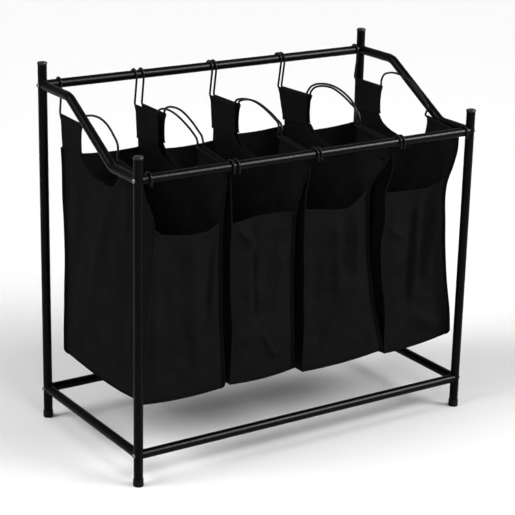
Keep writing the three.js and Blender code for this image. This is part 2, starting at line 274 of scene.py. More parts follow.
class Finish:
    """A new material, and the recipes that add nodes to it."""

    def __init__(self, name):
        self.material = bpy.data.materials.new(name)
        self.material.use_nodes = True
        self.tree = self.material.node_tree
        self.tree.nodes.clear()

    def node(self, kind, settings, inputs, output=0):
        """Adds a node, sets it up, fills or wires its inputs and gives back one output."""
        made = self.tree.nodes.new(kind)
        for name, value in settings.items():
            if name == "stops":
                ramp = made.color_ramp
                for stop, (place, grey) in zip(list(ramp.elements), value):
                    stop.position, stop.color = place, (grey, grey, grey, 1)
            else:
                setattr(made, name, value)
        for name, value in inputs.items():
            if isinstance(value, Signal):
                self.tree.links.new(value.socket, made.inputs[name])
            else:
                made.inputs[name].default_value = value
        return Signal(self, made.outputs[output]) if made.outputs else None

    def place(self):
        return self.node("ShaderNodeTexCoord", {}, {}, "Object")

    def noise(self, where, scale, detail=2.0, rough=0.5):
        return self.node("ShaderNodeTexNoise", {}, {"Vector": where, "Scale": scale, "Detail": detail,
                                                    "Roughness": rough}, "Fac")

    def ramp(self, value, low, high):
        """0 below low, 1 above high and straight between."""
        return self.node("ShaderNodeValToRGB", {"stops": [(low, 0.0), (high, 1.0)]}, {0: value})

    def tint(self, factor, first, second):
        return self.node("ShaderNodeMix", {"data_type": "RGBA"}, {0: factor, 6: first, 7: second}, 2)

    def surface(self, height, depth, strength=1.0, **inputs):
        """Ends the finish: a Principled surface whose bumps stand depth metres for a height of 1."""
        values = {name.replace("_", " "): value for name, value in inputs.items()}
        values["Normal"] = self.node("ShaderNodeBump", {}, {"Strength": strength, "Distance": depth,
                                                            "Height": height})
        shader = self.node("ShaderNodeBsdfPrincipled", {}, values)
        self.node("ShaderNodeOutputMaterial", {}, {"Surface": shader})
        return self.material


def grey(value, warm=1.0):
    """A near-neutral colour. warm above 1 leans it towards brown."""
    return (value * warm, value, value / warm, 1)


# %% [markdown]
# ## Powder-coated steel
# The tubes wear a black powder coat. Baked powder is never glass smooth: it flows into
# a fine orange peel about a millimetre across, with grains a little smaller on top, so
# a highlight breaks into specks. Object coordinates keep the peel the same size on
# every tube. Roughness varies slowly, as where hands have rubbed it.

# %% Powder coat
coat = Finish("frame_paint")
where = coat.place()
peel = coat.noise(where, 620.0, 3.0)
grain = coat.noise(where, 1500.0, 1.0)
rubbed = coat.noise(where, 9.0, 3.0)
POWDER_COAT = coat.surface(
    peel * 0.7 + grain * 0.3, 0.00045, 0.75,
    Base_Color=coat.tint(rubbed, grey(0.0007), grey(0.0013)),
    Roughness=rubbed * 0.08 + peel * 0.10 + 0.20,
    Specular_IOR_Level=0.045)
print("made", POWDER_COAT.name)

# %% [markdown]
# ## Dipped wire, moulded caps, bolts
# The handles are round wire dipped in black, only slightly lumpy. Caps and feet are
# moulded plastic with the faint grain of the mould, and the feet are duller and softer.
# Bolts are plated steel: a metal, greyed, with fine turning marks across the head. The
# plugs inside the rails are dark nylon.

# %% Wire, plastic, bolt and nylon
dip = Finish("wire_paint")
where = dip.place()
lumps = dip.noise(where, 260.0, 2.0)
WIRE_COAT = dip.surface(lumps, 0.0002, 0.5, Base_Color=dip.tint(lumps, grey(0.0015), grey(0.003)),
                        Roughness=lumps * 0.12 + 0.3, Specular_IOR_Level=0.1)


def moulded(name, dark, light, rough, shine):
    """Moulded plastic: a fine grain, scuffed a shade lighter and duller in places."""
    made = Finish(name)
    where = made.place()
    grain = made.noise(where, 1800.0, 2.0)
    scuff = made.noise(where, 60.0, 4.0)
    return made.surface(grain, 0.00012, 0.8, Base_Color=made.tint(scuff, grey(dark), grey(light)),
                        Roughness=scuff * 0.2 + rough, Specular_IOR_Level=shine)


CAP_PLASTIC = moulded("cap_plastic", 0.003, 0.006, 0.3, 0.22)
FOOT_PLASTIC = moulded("foot_plastic", 0.002, 0.004, 0.4, 0.06)

black = Finish("bolt_black")
where = black.place()
turned = black.noise(where, 2400.0, 1.0)
worn = black.ramp(black.noise(where, 180.0, 3.0), 0.52, 0.7)
BOLT_STEEL = black.surface(turned, 0.00006, 0.7, Base_Color=black.tint(worn, grey(0.16), grey(0.40)),
                           Roughness=0.36 - worn * 0.12, Metallic=worn * 0.1 + 0.85)

nylon = Finish("plug_nylon")
where = nylon.place()
cloudy = nylon.noise(where, 90.0, 3.0)
PLUG_NYLON = nylon.surface(cloudy, 0.0001, 0.5, Base_Color=nylon.tint(cloudy, grey(0.012), grey(0.03)),
                           Roughness=cloudy * 0.1 + 0.4)
print("made", WIRE_COAT.name, CAP_PLASTIC.name, FOOT_PLASTIC.name, BOLT_STEEL.name, PLUG_NYLON.name)

# %% [markdown]
# ## Bag cloth
# The bags are sewn from a tight plain weave of black polyester. In a plain weave each
# thread goes over one and under the next, both ways. The height of the warp at a point
# is a rounded ridge across the thread, which rises and sinks along it, one crossing out
# of step with its neighbour; the weft fills the other squares. The pattern reads the
# cloth's own lengths (its UV map, in metres), so the threads follow the panel and stay
# one size. Worn places, scattered at random, are a shade lighter. The same recipe,
# closer and ribbed, makes the binding tape.

# %% Cloth
def weave(finish, threads):
    """Height of a plain weave with that many threads to the metre, from 0 to 1."""
    def maths(operation, *values):
        return finish.node("ShaderNodeMath", {"operation": operation}, dict(enumerate(values)))

    def wave(turns):
        return maths("COSINE", turns * (2 * pi))

    lengths_map = finish.node("ShaderNodeUVMap", {"uv_map": "cloth"}, {})
    along = finish.node("ShaderNodeVectorMath", {"operation": "SCALE"},
                        {0: lengths_map, "Scale": threads})
    across = finish.node("ShaderNodeSeparateXYZ", {}, {0: along}, 0)
    up = finish.node("ShaderNodeSeparateXYZ", {}, {0: along}, 1)
    warp = (1 - wave(across)) * (1 + wave(up * 0.5 + maths("FLOOR", across) * 0.5)) * 0.25
    weft = (1 - wave(up)) * (1 - wave(across * 0.5 + maths("FLOOR", up) * 0.5)) * 0.25
    return maths("MAXIMUM", warp, weft)


def cloth_finish(name, threads, thread_depth, dark, light):
    """A woven finish: so many threads to the metre, so deep, dark in the weave, light where worn."""
    made = Finish(name)
    where = made.place()
    threads_up = weave(made, threads)
    slub = made.noise(where, 700.0, 2.0)
    handled = made.noise(where, 14.0, 4.0, 0.6)
    shade = handled * 0.7 + threads_up * 0.3
    return made.surface(threads_up * 0.8 + slub * 0.2, thread_depth, 0.55,
                        Base_Color=made.tint(shade, grey(dark, 1.03), grey(light, 1.03)),
                        Roughness=handled * 0.16 + 0.55, Specular_IOR_Level=0.006,
                        Sheen_Weight=0.003, Sheen_Roughness=0.5, Sheen_Tint=grey(0.8))


CLOTH = cloth_finish("bag_cloth", 1500.0, 0.00022, 0.0030, 0.0072)
TAPE = cloth_finish("bag_tape", 2300.0, 0.00016, 0.0020, 0.0048)

sewing = Finish("bag_thread")
twist = sewing.node("ShaderNodeTexWave", {"bands_direction": "DIAGONAL"},
                    {"Vector": sewing.place(), "Scale": 900.0}, "Fac")
THREAD = sewing.surface(twist, 0.0002, 0.6, Base_Color=sewing.tint(twist, grey(0.002), grey(0.006)),
                        Roughness=twist * 0.1 + 0.5, Specular_IOR_Level=0.05)
print("made", CLOTH.name, TAPE.name, THREAD.name)

# %% [markdown]
# ## The stage
# A wide pale floor, a pale sky and large soft lights, as in a plain studio. The floor
# runs far enough back that it fills the view. Two broad windows, one from the front
# right and one from the left, shade the cloth across its folds, and a small front lamp
# opens the shadows between the bags. Black paint is seen by what it reflects, so one
# more lamp stands where its reflection draws a line along each tube, and it lights
# nothing else.

# %% Floor, sky and lamps
pale = Finish("floor_pale")
FLOOR = pale.surface(pale.noise(pale.place(), 3.0), 0.0001, 0.1,
                     Base_Color=grey(0.72), Roughness=0.9)
FLOOR_HALF = 30000.0
edge = np.linspace(-FLOOR_HALF, FLOOR_HALF, 9)
floor_y, floor_x = np.meshgrid(edge, edge, indexing="ij")
floor = sheet("floor", np.stack([floor_x, floor_y, 0 * floor_x], -1), FLOOR)

sky = bpy.data.worlds.new("sky")
sky.use_nodes = True
sky.node_tree.nodes["Background"].inputs["Color"].default_value = (1, 1, 1, 1)
sky.node_tree.nodes["Background"].inputs["Strength"].default_value = 0.36
bpy.context.scene.world = sky


def lamp(name, kind, place, aim, power, size):
    """A soft lamp that points from its place to its aim, as an object. size is a width in
    metres, or a sun's angle in degrees."""
    light = bpy.data.lights.new(name, kind)
    light.energy = power
    if kind == "SUN":
        light.angle = radians(size)
    else:
        light.shape, light.size = "DISK", size
    held = bpy.data.objects.new(name, light)
    back = unit(np.array(place, float) - np.array(aim, float))
    side = unit(np.cross([0, 0, 1.0], back))
    top = np.cross(back, side)
    held.matrix_world = Matrix([*np.stack([side, top, back, place], 1).tolist(), [0, 0, 0, 1]])
    bpy.context.scene.collection.objects.link(held)
    return held


lamp("right_window", "SUN", (0.56, -0.63, 0.54), (0, 0, 0), 2.4, 34)
lamp("left_window", "SUN", (-0.72, 0.14, 0.68), (0, 0, 0), 2.5, 36)
lamp("front_lamp", "AREA", (-0.5, -3.0, 2.9), (0, 0, 0.45), 50, 1.4)
glint = lamp("glint_lamp", "AREA", (2.5, -2.7, 2.7), (0, 0, 0.5), 520, 1.3)
glint.visible_diffuse = False    # its light is seen only as a reflection
bpy.context.scene.view_settings.view_transform = "Standard"
print("stage set")

# %% [markdown]
# ## Posts
# Each post is a straight steel tube. It could be a primitive cylinder, but a ring
# carried up a path gives clean smooth sides with the detail rings where they are
# wanted: the tube's wall is rounded over a little at each end. Its place and height
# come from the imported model.

# %% Posts
CORNERS = ["front_left", "front_right", "back_left", "back_right"]
TUBE_R = 9.5
POST_EDGE = 1.2


def node_box(node):
    """A node's lowest and highest corner in millimetres."""
    low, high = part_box(node)
    return np.array(low) / MM, np.array(high) / MM


def finish_piece(piece, body, slot, *nodes):
    """Hangs a piece on the body it rides on and hides the nodes it stands for. slot is not used."""
    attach(piece, body)
    if nodes:
        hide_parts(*nodes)
    return piece


def turned_shape(x, y, profile, sides=40):
    """Rings of a part made on a lathe: profile is pairs of a radius and a height, and each
    pair is turned round the upright axis through x, y."""
    radius, height = np.asarray(profile, float).T
    angle = np.linspace(0, 2 * pi, sides, endpoint=False)
    ring = np.stack([np.cos(angle), np.sin(angle)], -1)
    level = np.broadcast_to(height[:, None, None], (len(height), sides, 1))
    return np.concatenate([np.array([x, y]) + radius[:, None, None] * ring, level], -1)


def turned_piece(name, x, y, profile, finish, slot, node):
    """A turned part of the frame that stands for one node."""
    made = mesh_piece(name, *loft_points(turned_shape(x, y, profile)), finish)
    return finish_piece(made, "frame", slot, node)


for corner in CORNERS:
    low, high = node_box("post_" + corner)
    x, y = (low[:2] + high[:2]) / 2
    profile = [(TUBE_R - POST_EDGE, low[2]), (TUBE_R, low[2] + POST_EDGE), (TUBE_R, high[2] / 2),
               (TUBE_R, high[2] - POST_EDGE), (TUBE_R - POST_EDGE, high[2])]
    turned_piece("post_" + corner + "_tube", x, y, profile, POWDER_COAT, "frame_paint", "post_" + corner)
print("posts:", len(CORNERS))

# %% [markdown]
# ## Caps and feet
# A plug cap closes the top of each post and a sleeve foot covers its lower end. Both
# are moulded, so every edge is rounded. Their outline is a short list of radii and
# heights, turned round the post's axis like work on a lathe.

# %% Caps and feet
def arc(centre_r, centre_z, radius, start, end, steps=6):
    """Pairs of radius and height round a quarter turn, from one angle to another in degrees."""
    angle = np.radians(np.linspace(start, end, steps))
    return list(zip(centre_r + radius * np.cos(angle), centre_z + radius * np.sin(angle)))


CAP_ROUND, CAP_LIP = 3.0, 0.5
PLUG_R, PLUG_CHAMFER = TUBE_R - 1.5, 0.7          # the part of a cap inside its post
FOOT_ROUND, FOOT_LIP = 1.5, 0.7
GROOVE, GROOVE_AT = 0.35, (0.45, 0.5, 0.56, 0.61)   # depth, and shares of the foot's height

for corner in CORNERS:
    low, high = node_box("top_cap_" + corner)
    x, y = (low[:2] + high[:2]) / 2
    cap_r = (high[0] - low[0]) / 2
    post_top = node_box("post_" + corner)[1][2]
    outline = [(PLUG_R - PLUG_CHAMFER, low[2]), (PLUG_R, low[2] + 1), (PLUG_R, post_top - 0.2),
               (cap_r - CAP_LIP, post_top - 0.1), (cap_r, post_top + CAP_LIP)]
    outline += arc(cap_r - CAP_ROUND, high[2] - CAP_ROUND, CAP_ROUND, 0, 82, 8)
    outline += [(cap_r * 0.35, high[2])]
    turned_piece("cap_" + corner, x, y, outline, CAP_PLASTIC, "cap_plastic", "top_cap_" + corner)

    low, high = node_box("foot_cap_" + corner)
    foot_r = (high[0] - low[0]) / 2
    outline = [(foot_r * 0.5, 0.0), (foot_r * 0.62, 0.5), (foot_r * 0.7, 0.0)]
    outline += arc(foot_r - FOOT_ROUND, FOOT_ROUND, FOOT_ROUND, -90, 0)
    outline += [(foot_r - sunk, high[2] * share)
                for sunk, share in zip((0, GROOVE, GROOVE, 0), GROOVE_AT)]
    outline += arc(foot_r - FOOT_LIP, high[2] - FOOT_LIP, FOOT_LIP, 0, 90, 4)
    outline += [(TUBE_R - 1, high[2])]
    turned_piece("foot_" + corner, x, y, outline, FOOT_PLASTIC, "cap_plastic", "foot_cap_" + corner)
print("caps and feet:", 2 * len(CORNERS))

# %% [markdown]
# ## Rails
# The four long rails are straight tubes that butt against the posts. The side rails run
# front to back: the lower ones are straight, and the upper ones leave the back post
# level, slope down through two bends and reach the front post level. Every rail is a
# ring carried along a path that starts and ends just inside a post's wall.

# %% Rails
POST_X, POST_Y = 400.0, 198.0
IN_WALL = 5.0                    # how far a rail runs on past the face of a post
BACK_RAIL_Z, FRONT_RAIL_Z, LOW_RAIL_Z = 730.0, 627.0, 66.0
UPPER_BEND_Y, LOWER_BEND_Y, BEND_R = 80.0, -100.0, 45.0


def tube(name, path, across, node):
    """A round steel tube along a path, smooth all the way round."""
    rings = carried(path, across, 2 * TUBE_R, 2 * TUBE_R, sides=32)
    return finish_piece(mesh_piece(name, *loft_points(rings), POWDER_COAT), "frame", "frame_paint", node)


LONG_RAILS = {                   # y and z of each long rail's middle
    "top_rail_front": (-POST_Y, FRONT_RAIL_Z), "top_rail_back": (POST_Y, BACK_RAIL_Z),
    "bottom_rail_front": (-POST_Y, LOW_RAIL_Z), "bottom_rail_back": (POST_Y, LOW_RAIL_Z),
}
rail_end = POST_X - IN_WALL
for node, (y, z) in LONG_RAILS.items():
    tube(node + "_tube", [(x, y, z) for x in np.linspace(-rail_end, rail_end, 9)], (0, 0, 1), node)

side_end = POST_Y - IN_WALL
turn = np.arctan2(BACK_RAIL_Z - FRONT_RAIL_Z, UPPER_BEND_Y - LOWER_BEND_Y)
bend_reach = BEND_R * np.tan(turn / 2)
for side, x in (("left", -POST_X), ("right", POST_X)):
    path = rounded_path([(x, side_end, BACK_RAIL_Z), (x, UPPER_BEND_Y, BACK_RAIL_Z),
                         (x, LOWER_BEND_Y, FRONT_RAIL_Z), (x, -side_end, FRONT_RAIL_Z)],
                        [bend_reach, bend_reach], step=1.5)
    tube("sloping_rail_" + side, path, (1, 0, 0), "sloping_side_rail_" + side)
    path = [(x, y, LOW_RAIL_Z) for y in np.linspace(-side_end, side_end, 7)]
    tube("low_rail_" + side, path, (1, 0, 0), "bottom_side_rail_" + side)
print("rails:", len(LONG_RAILS), "long and 4 at the sides")

# %% [markdown]
# ## Welds
# The side rails are welded to the posts, and the coat runs over the bead. Where two
# tubes of one radius r meet at a right angle, a point at angle a round the rail lies
# r * |sin a| out from the post's axis. A thin ring follows that saddle curve, and its
# thickness ripples as the welder's puddle did.

# %% Weld beads
BEAD, RIPPLE, RIPPLES, BEAD_STEPS = 2.6, 0.5, 26, 97
SADDLE_ROUND, BEAD_OUT, BEAD_RISE = 1.2, 0.4, 0.35   # softens the saddle, and lifts the bead off it


def weld(x, y, z, facing):
    """A bead round a rail that meets the post at x, y and leaves it in the facing direction."""
    a = np.linspace(0, 2 * pi, BEAD_STEPS)
    out = np.sqrt((TUBE_R * np.sin(a)) ** 2 + SADDLE_ROUND ** 2) + BEAD_OUT
    ring_r = TUBE_R + BEAD_RISE
    path = np.stack([x + ring_r * np.cos(a), y + facing * out, z + ring_r * np.sin(a)], -1)
    thick = BEAD + RIPPLE * np.sin(RIPPLES * a)
    return loft_points(carried(path, (0, 1.0, 0), thick, thick, sides=8))


for side, x in (("left", -POST_X), ("right", POST_X)):
    beads = joined([weld(x, POST_Y, BACK_RAIL_Z, -1), weld(x, -POST_Y, FRONT_RAIL_Z, 1),
                    weld(x, POST_Y, LOW_RAIL_Z, -1), weld(x, -POST_Y, LOW_RAIL_Z, 1)])
    finish_piece(mesh_piece("weld_beads_" + side, *beads, POWDER_COAT), "frame", "frame_paint")
print("weld beads:", 8)

# %% [markdown]
# ## Bolts
# A button-head bolt passes through each post into a nut plug in the end of a long rail.
# The head is a low dome with a six-sided socket. Its height is a function of distance r
# and angle a from the middle: the socket's wall is at flat / cos(a folded into one
# sixth), inside it the floor is deep, and outside it the dome falls as (r / R)^2.2.

# %% Bolt heads and plugs
HEAD_STEPS, HEAD_SIDES = 7, 48
HEAD_HEIGHT, SOCKET_FLAT, SOCKET_DEPTH, SHANK_R = 3.2, 2.0, 1.9, 2.9
SOCKET_EDGE, RIM_ROUND, DOME_FALL, DOME_POWER = 0.25, 0.4, 0.7, 2.2   # the dome's outline


def bolt(low, high, out):
    """A button-head bolt along x whose head points in the out direction."""
    y, z = (low[1:] + high[1:]) / 2
    head_r = (high[1] - low[1]) / 2
    tip = high[0] if out > 0 else low[0]
    inner = low[0] if out > 0 else high[0]
    a = np.linspace(0, 2 * pi, HEAD_SIDES, endpoint=False)
    full = np.ones_like(a)
    socket = SOCKET_FLAT / np.cos((a + pi / 6) % (pi / 3) - pi / 6)
    rings = [(0.5 * socket, SOCKET_DEPTH * full), (socket, SOCKET_DEPTH * full),
             (socket, 0.25 * full), (socket + SOCKET_EDGE, 0.05 * full)]
    for k in np.linspace(0.15, 1, HEAD_STEPS):
        r = socket + SOCKET_EDGE + (head_r - socket - SOCKET_EDGE) * k
        fallen = ((r - SOCKET_FLAT) / (head_r - SOCKET_FLAT)) ** DOME_POWER
        rings.append((r, (HEAD_HEIGHT - DOME_FALL) * fallen))
    rings += [(head_r * full, (HEAD_HEIGHT - DOME_FALL / 2) * full),
              ((head_r - RIM_ROUND) * full, HEAD_HEIGHT * full),
              (SHANK_R * full, HEAD_HEIGHT * full), (SHANK_R * full, abs(tip - inner) * full)]
    radius, sunk = np.array([r for r, _ in rings]), np.array([d for _, d in rings])
    shape = np.stack([tip - out * sunk, y + radius * np.cos(a), z + out * radius * np.sin(a)], -1)
    return loft_points(shape)


for level_name in ("top", "bottom"):
    for corner in CORNERS:
        node = f"bolt_{level_name}_{corner}"
        out = 1 if corner.endswith("right") else -1
        name = f"bolt_head_{level_name}_{corner}"
        made = mesh_piece(name, *bolt(*node_box(node), out), BOLT_STEEL, sharp=35)
        finish_piece(made, "frame", "bolt_black", node)
        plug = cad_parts[f"threaded_plug_{level_name}_{corner}"]
        plug.data.materials.clear()
        plug.data.materials.append(PLUG_NYLON)
print("bolts:", 2 * len(CORNERS))

# %% [markdown]
# ## Handle wires
# One round wire does three jobs on each side of a bag. From the back it hooks over the
# rear rail, drops, runs level through the cloth's rear sleeve, rises in the arch that is
# the handle, dips into the front sleeve and hooks over the front rail. The whole shape
# lies in one upright plane, so it is drawn once in (y, z) and each wire's x follows y
# along its own slightly skewed line. Its two cut tips are rounded.

# %% Handle wires
WIRE_R, HOOK_R = 2.25, 12.0
TIP_STEPS, ARCH_STEPS, WIRE_STEP = 5, 70, 2.2
HOOK_Y = POST_Y - HOOK_R         # how far from the middle a hook comes down inside its rail
BACK_SLEEVE_Z, SLEEVE_SLOPE = 665.0, 0.122
FRONT_SLEEVE_Y, FRONT_SLEEVE_Z = -68.0, 634.0
BAG_WIRES = {                    # left wire, right wire: x at the back post line and the front one
    "bag_1": ((-363.0, -378.0), (-188.0, -195.0)),
    "bag_2": ((-171.0, -183.0), (-3.0, 2.0)),
    "bag_3": ((7.0, 10.0), (174.0, 208.0)),
    "bag_4": ((183.0, 217.0), (384.0, 384.0)),
}
SIDES = ("left", "right")


def wire_x(bag, side, y):
    """x of a bag's wire plane at y."""
    at_back, at_front = BAG_WIRES[bag][SIDES.index(side)]
    return at_back + (POST_Y - np.asarray(y, float)) / (2 * POST_Y) * (at_front - at_back)


def hook(centre_y, centre_z, start, end):
    """Half a turn of the hook's radius in (y, z), between two angles in degrees."""
    angle = np.radians(np.linspace(start, end, 19))
    return np.stack([centre_y + HOOK_R * np.cos(angle), centre_z + HOOK_R * np.sin(angle)], -1)


def front_sleeve_z(y):
    """Height of the wire's middle along the front sleeve."""
    return FRONT_SLEEVE_Z + SLEEVE_SLOPE * (np.asarray(y, float) - FRONT_SLEEVE_Y)


ARCHES = {                       # y and z along each arch, bent by hand, so no two are alike
    ("bag_1", "left"): ([94, 88, 76, 61, 36, 2, -25, -51, -69, -71],
                        [675, 683, 688, 692, 697, 698, 692, 678, 663, 651]),
    ("bag_1", "right"): ([94, 88, 75, 53, 24, -13, -51, -66, -69],
                         [673, 678, 683, 686, 684, 675, 660, 651, 645]),
    ("bag_2", "left"): ([94, 88, 79, 54, 25, -7, -45, -64, -67],
                        [673, 680, 684, 689, 689, 681, 664, 652, 645]),
    ("bag_2", "right"): ([94, 89, 79, 57, 22, -12, -47, -68, -71],
                         [673, 678, 682, 687, 689, 683, 671, 660, 648]),
    ("bag_3", "left"): ([94, 90, 83, 66, 34, -4, -44, -66, -70],
                        [672, 675, 678, 683, 686, 680, 667, 656, 646]),
    ("bag_3", "right"): ([94, 90, 83, 66, 41, 6, -30, -59, -68, -68],
                         [674, 680, 688, 697, 703, 704, 695, 678, 663, 648]),
    ("bag_4", "left"): ([94, 90, 84, 72, 52, 21, -9, -40, -62, -69],
                        [673, 678, 684, 690, 695, 696, 688, 674, 662, 648]),
    ("bag_4", "right"): ([95, 93, 87, 68, 34, -5, -38, -66, -74, -72],
                         [676, 683, 693, 702, 706, 701, 686, 664, 655, 645]),
}


def handle_path(arch_y, arch_z):
    """The whole handle in (y, z): hook, drop, sleeve, arch, sleeve, hook."""
    run = np.concatenate([[0], np.cumsum(np.hypot(np.diff(arch_y), np.diff(arch_z)))])
    at = np.linspace(0, run[-1], ARCH_STEPS)
    arch = np.stack([through(at, run, arch_y), through(at, run, arch_z)], -1)
    drop = rounded_path([(HOOK_Y, 728), (HOOK_Y, 722), (195, BACK_SLEEVE_Z), (95, BACK_SLEEVE_Z),
                         (94.5, 672)], [3.0, 7.0, 4.0], step=1.5)
    dip = rounded_path([(-69, 642), (-66, 634.2), (-HOOK_Y, front_sleeve_z(-HOOK_Y)),
                        (-HOOK_Y, 625)], [4.0, 6.0], step=1.5)
    back_tip, front_tip = [(POST_Y + HOOK_R, 725.0)], [(-POST_Y - HOOK_R, 614.0)]
    parts = [back_tip, hook(POST_Y, BACK_RAIL_Z, 0, 180), drop, arch, dip,
             hook(-POST_Y, FRONT_RAIL_Z, 0, 180), front_tip]
    return even(np.concatenate(parts), WIRE_STEP)


def handle_wire(bag, side):
    """The handle path in a wire's own plane, with its radius drawn in to a round tip."""
    y, z = handle_path(*ARCHES[bag, side]).T
    path = np.stack([wire_x(bag, side, y), y, z], -1)
    tip = np.sqrt(1 - (1 - np.linspace(0.05, 1, TIP_STEPS)) ** 2)
    reach = np.linspace(0, WIRE_R, TIP_STEPS)
    run = run_of(path)
    shank = np.linspace(WIRE_R + 1, run[-1] - WIRE_R - 1, len(run))
    path = read_at(path, run, np.concatenate([reach, shank, run[-1] - reach[::-1]]))
    width = 2 * WIRE_R * np.concatenate([tip, np.ones(len(run)), tip[::-1]])
    back_x, front_x = BAG_WIRES[bag][SIDES.index(side)]
    across = unit(np.array([2 * POST_Y, front_x - back_x, 0.0]))
    return loft_points(carried(path, across, width, width, sides=14))


for bag in BAG_WIRES:
    for side in SIDES:
        made = mesh_piece(f"{bag}_wire_loop_{side}", *handle_wire(bag, side), WIRE_COAT)
        finish_piece(made, f"{bag}_wire_{side}", "wire_paint", f"{bag}_handle_{side}")
print("handle wires:", 2 * len(BAG_WIRES))

# %% [markdown]
# ## How a bag is cut
# A bag is five panels of cloth: two sides, a front that stops short to leave an opening,
# a back and a floor. The sides carry two tabs each, folded over the wire to make the
# sleeves. Nothing holds the corners but the cloth, so the seams wander: each seam is a
# table of a height, how far the cloth has pulled in from the wire's plane, and y. Every
# panel reads the same tables, so neighbouring panels share their edge.

# %% Seam tables
ROUND_UNDER = 9.0                # radius where a wall turns under into the floor
TUCK_ROWS = 5                    # rows round that turn
THICK = 0.9                      # of the cloth

FRONT_SEAMS = {                  # rows of height, pull-in and y
    ("bag_1", "left"): [(158, 4, -172), (245, 5, -171), (308, 9, -170), (355, 16, -169), (419, 22, -168),
                        (462, 27, -168), (514, 29, -168), (543, 24, -170), (585, 6, -173), (610, 0, -172)],
    ("bag_1", "right"): [(156, -3, -172), (209, -1, -171), (276, 1, -166), (374, 1, -160), (469, 0, -157),
                         (505, 0, -158), (555, 1, -166), (585, 1, -172), (610, 0, -172)],
    ("bag_2", "left"): [(161, 9, -172), (187, 12, -171), (270, 15, -170), (369, 10, -168), (501, 10, -168),
                        (536, 8, -170), (585, 3, -173), (610, 0, -172)],
    ("bag_2", "right"): [(164, 19, -172), (182, 23, -171), (244, 24, -167), (311, 23, -161), (410, 22, -157),
                         (503, 17, -156), (555, 9, -165), (585, 3, -172), (610, 0, -172)],
    ("bag_3", "left"): [(151, -4, -172), (225, -1, -171), (319, -3, -170), (410, -5, -168), (506, -6, -168),
                        (555, -4, -170), (585, -2, -173), (610, 0, -172)],
    ("bag_3", "right"): [(161, -4, -172), (223, 12, -168), (306, 26, -162), (385, 33, -156), (477, 35, -152),
                         (522, 34, -153), (547, 25, -159), (570, 13, -168), (590, 3, -172), (610, 0, -172)],
    ("bag_4", "left"): [(150, 5, -172), (218, 5, -171), (266, 1, -170), (347, -10, -168), (394, -12, -167),
                        (439, -6, -167), (516, -5, -168), (558, 4, -171), (585, 3, -173), (610, 0, -172)],
    ("bag_4", "right"): [(167, -6, -174), (218, -6, -168), (282, -3, -157), (401, 0, -145), (510, 1, -146),
                         (546, 0, -160), (585, 0, -171), (610, 0, -172)],
}
BACK_SEAM = [(146, 1, 179), (216, 2, 179), (300, 2, 174), (370, 2, 170), (430, 2, 172), (490, 1, 175),
             (545, 1, 176), (590, 0, 177), (612, 0, 179)]
BOTTOM = {                       # height of the floor's front left, front right, back left and back right
    "bag_1": (159, 157, 147, 148), "bag_2": (160, 164, 149, 148),
    "bag_3": (152, 160, 148, 149), "bag_4": (151, 166, 148, 150),
}
OPENING = {                      # the front's top edge: places from left -1 to right 1, and heights
    "bag_1": ([-1, -0.85, -0.4, 0, 0.4, 0.8, 1], [514, 505, 497, 492, 489, 493, 503]),
    "bag_2": ([-1, -0.7, -0.2, 0.3, 0.7, 1], [500, 502, 506, 505, 502, 498]),
    "bag_3": ([-1, -0.6, -0.2, 0, 0.3, 0.7, 1], [504, 497, 490, 488, 490, 503, 518]),
    "bag_4": ([-1, -0.5, 0, 0.4, 0.8, 1], [510, 506, 502, 501, 507, 514]),
}
BACK_LEAN = {("bag_3", "right"): 9.0, ("bag_4", "left"): 12.0}   # corners drawn forwards
BACK_LEAN_FROM, BACK_LEAN_RISE, TAB_LEAN_RISE = 470, 120, 66
BACK_RIM = {"bag_1": (587, 580), "bag_2": (572, 571), "bag_3": (582, 586), "bag_4": (569, 570)}


def inward(side):
    """The way in from a side wall: +x from the left and -x from the right."""
    return 1 if side == "left" else -1


def seam(bag, side, end, height, tuck):
    """x and y of an upright seam at these heights, pulled in by tuck where the wall turns in."""
    rows = FRONT_SEAMS[bag, side] if end == "front" else BACK_SEAM
    heights, pulled, y = np.array(rows, float).T
    y = through(height, heights, y) + tuck * (1 if end == "front" else -1)
    if end == "back":
        y = y - BACK_LEAN.get((bag, side), 0.0) * eased((height - BACK_LEAN_FROM) / BACK_LEAN_RISE)
    return wire_x(bag, side, y) + inward(side) * (through(height, heights, pulled) + tuck), y


def wall_rows(bottom, top, rows):
    """Heights and tucks of a wall's rows. The first rows go round a quarter turn under the
    wall; the rest rise evenly from there to top. bottom and top have a value per column."""
    turn = np.linspace(0, pi / 2, TUCK_ROWS, endpoint=False)[:, None]
    rise = np.linspace(0, 1, rows)[:, None]
    upright = bottom + ROUND_UNDER + (top - bottom - ROUND_UNDER) * rise
    height = np.concatenate([bottom + ROUND_UNDER * (1 - np.cos(turn)), upright])
    tuck = np.concatenate([ROUND_UNDER * (1 - np.sin(turn)) + 0 * bottom, 0 * upright])
    return height, tuck


print("seams:", len(FRONT_SEAMS) * 2)

# %% [markdown]
# ## Folds
# Real cloth is never flat. Two sums give the shape its life. A fold is a ridge along a
# line: its height falls off with distance d from the line as exp(-(d / width)^keen),
# where keen 2 is a soft roll and 1.2 a pressed crease, and it fades in and out along
# the line. A rumple is a handful of waves in drawn directions, which bend each other a
# little, so that the eye finds no repeat. Both could come from a cloth simulation, but
# here the folds must sit where this sorter's bags have theirs.

# %% Fold and rumple
FOLD_FADE, FOLD_START = 0.3, 0.15    # the share of a fold that fades, and its height at the end
WAVES, WAVE_BEND, WAVE_KEEN, WAVE_HOLLOW = 8, 1.3, 0.8, 1.4


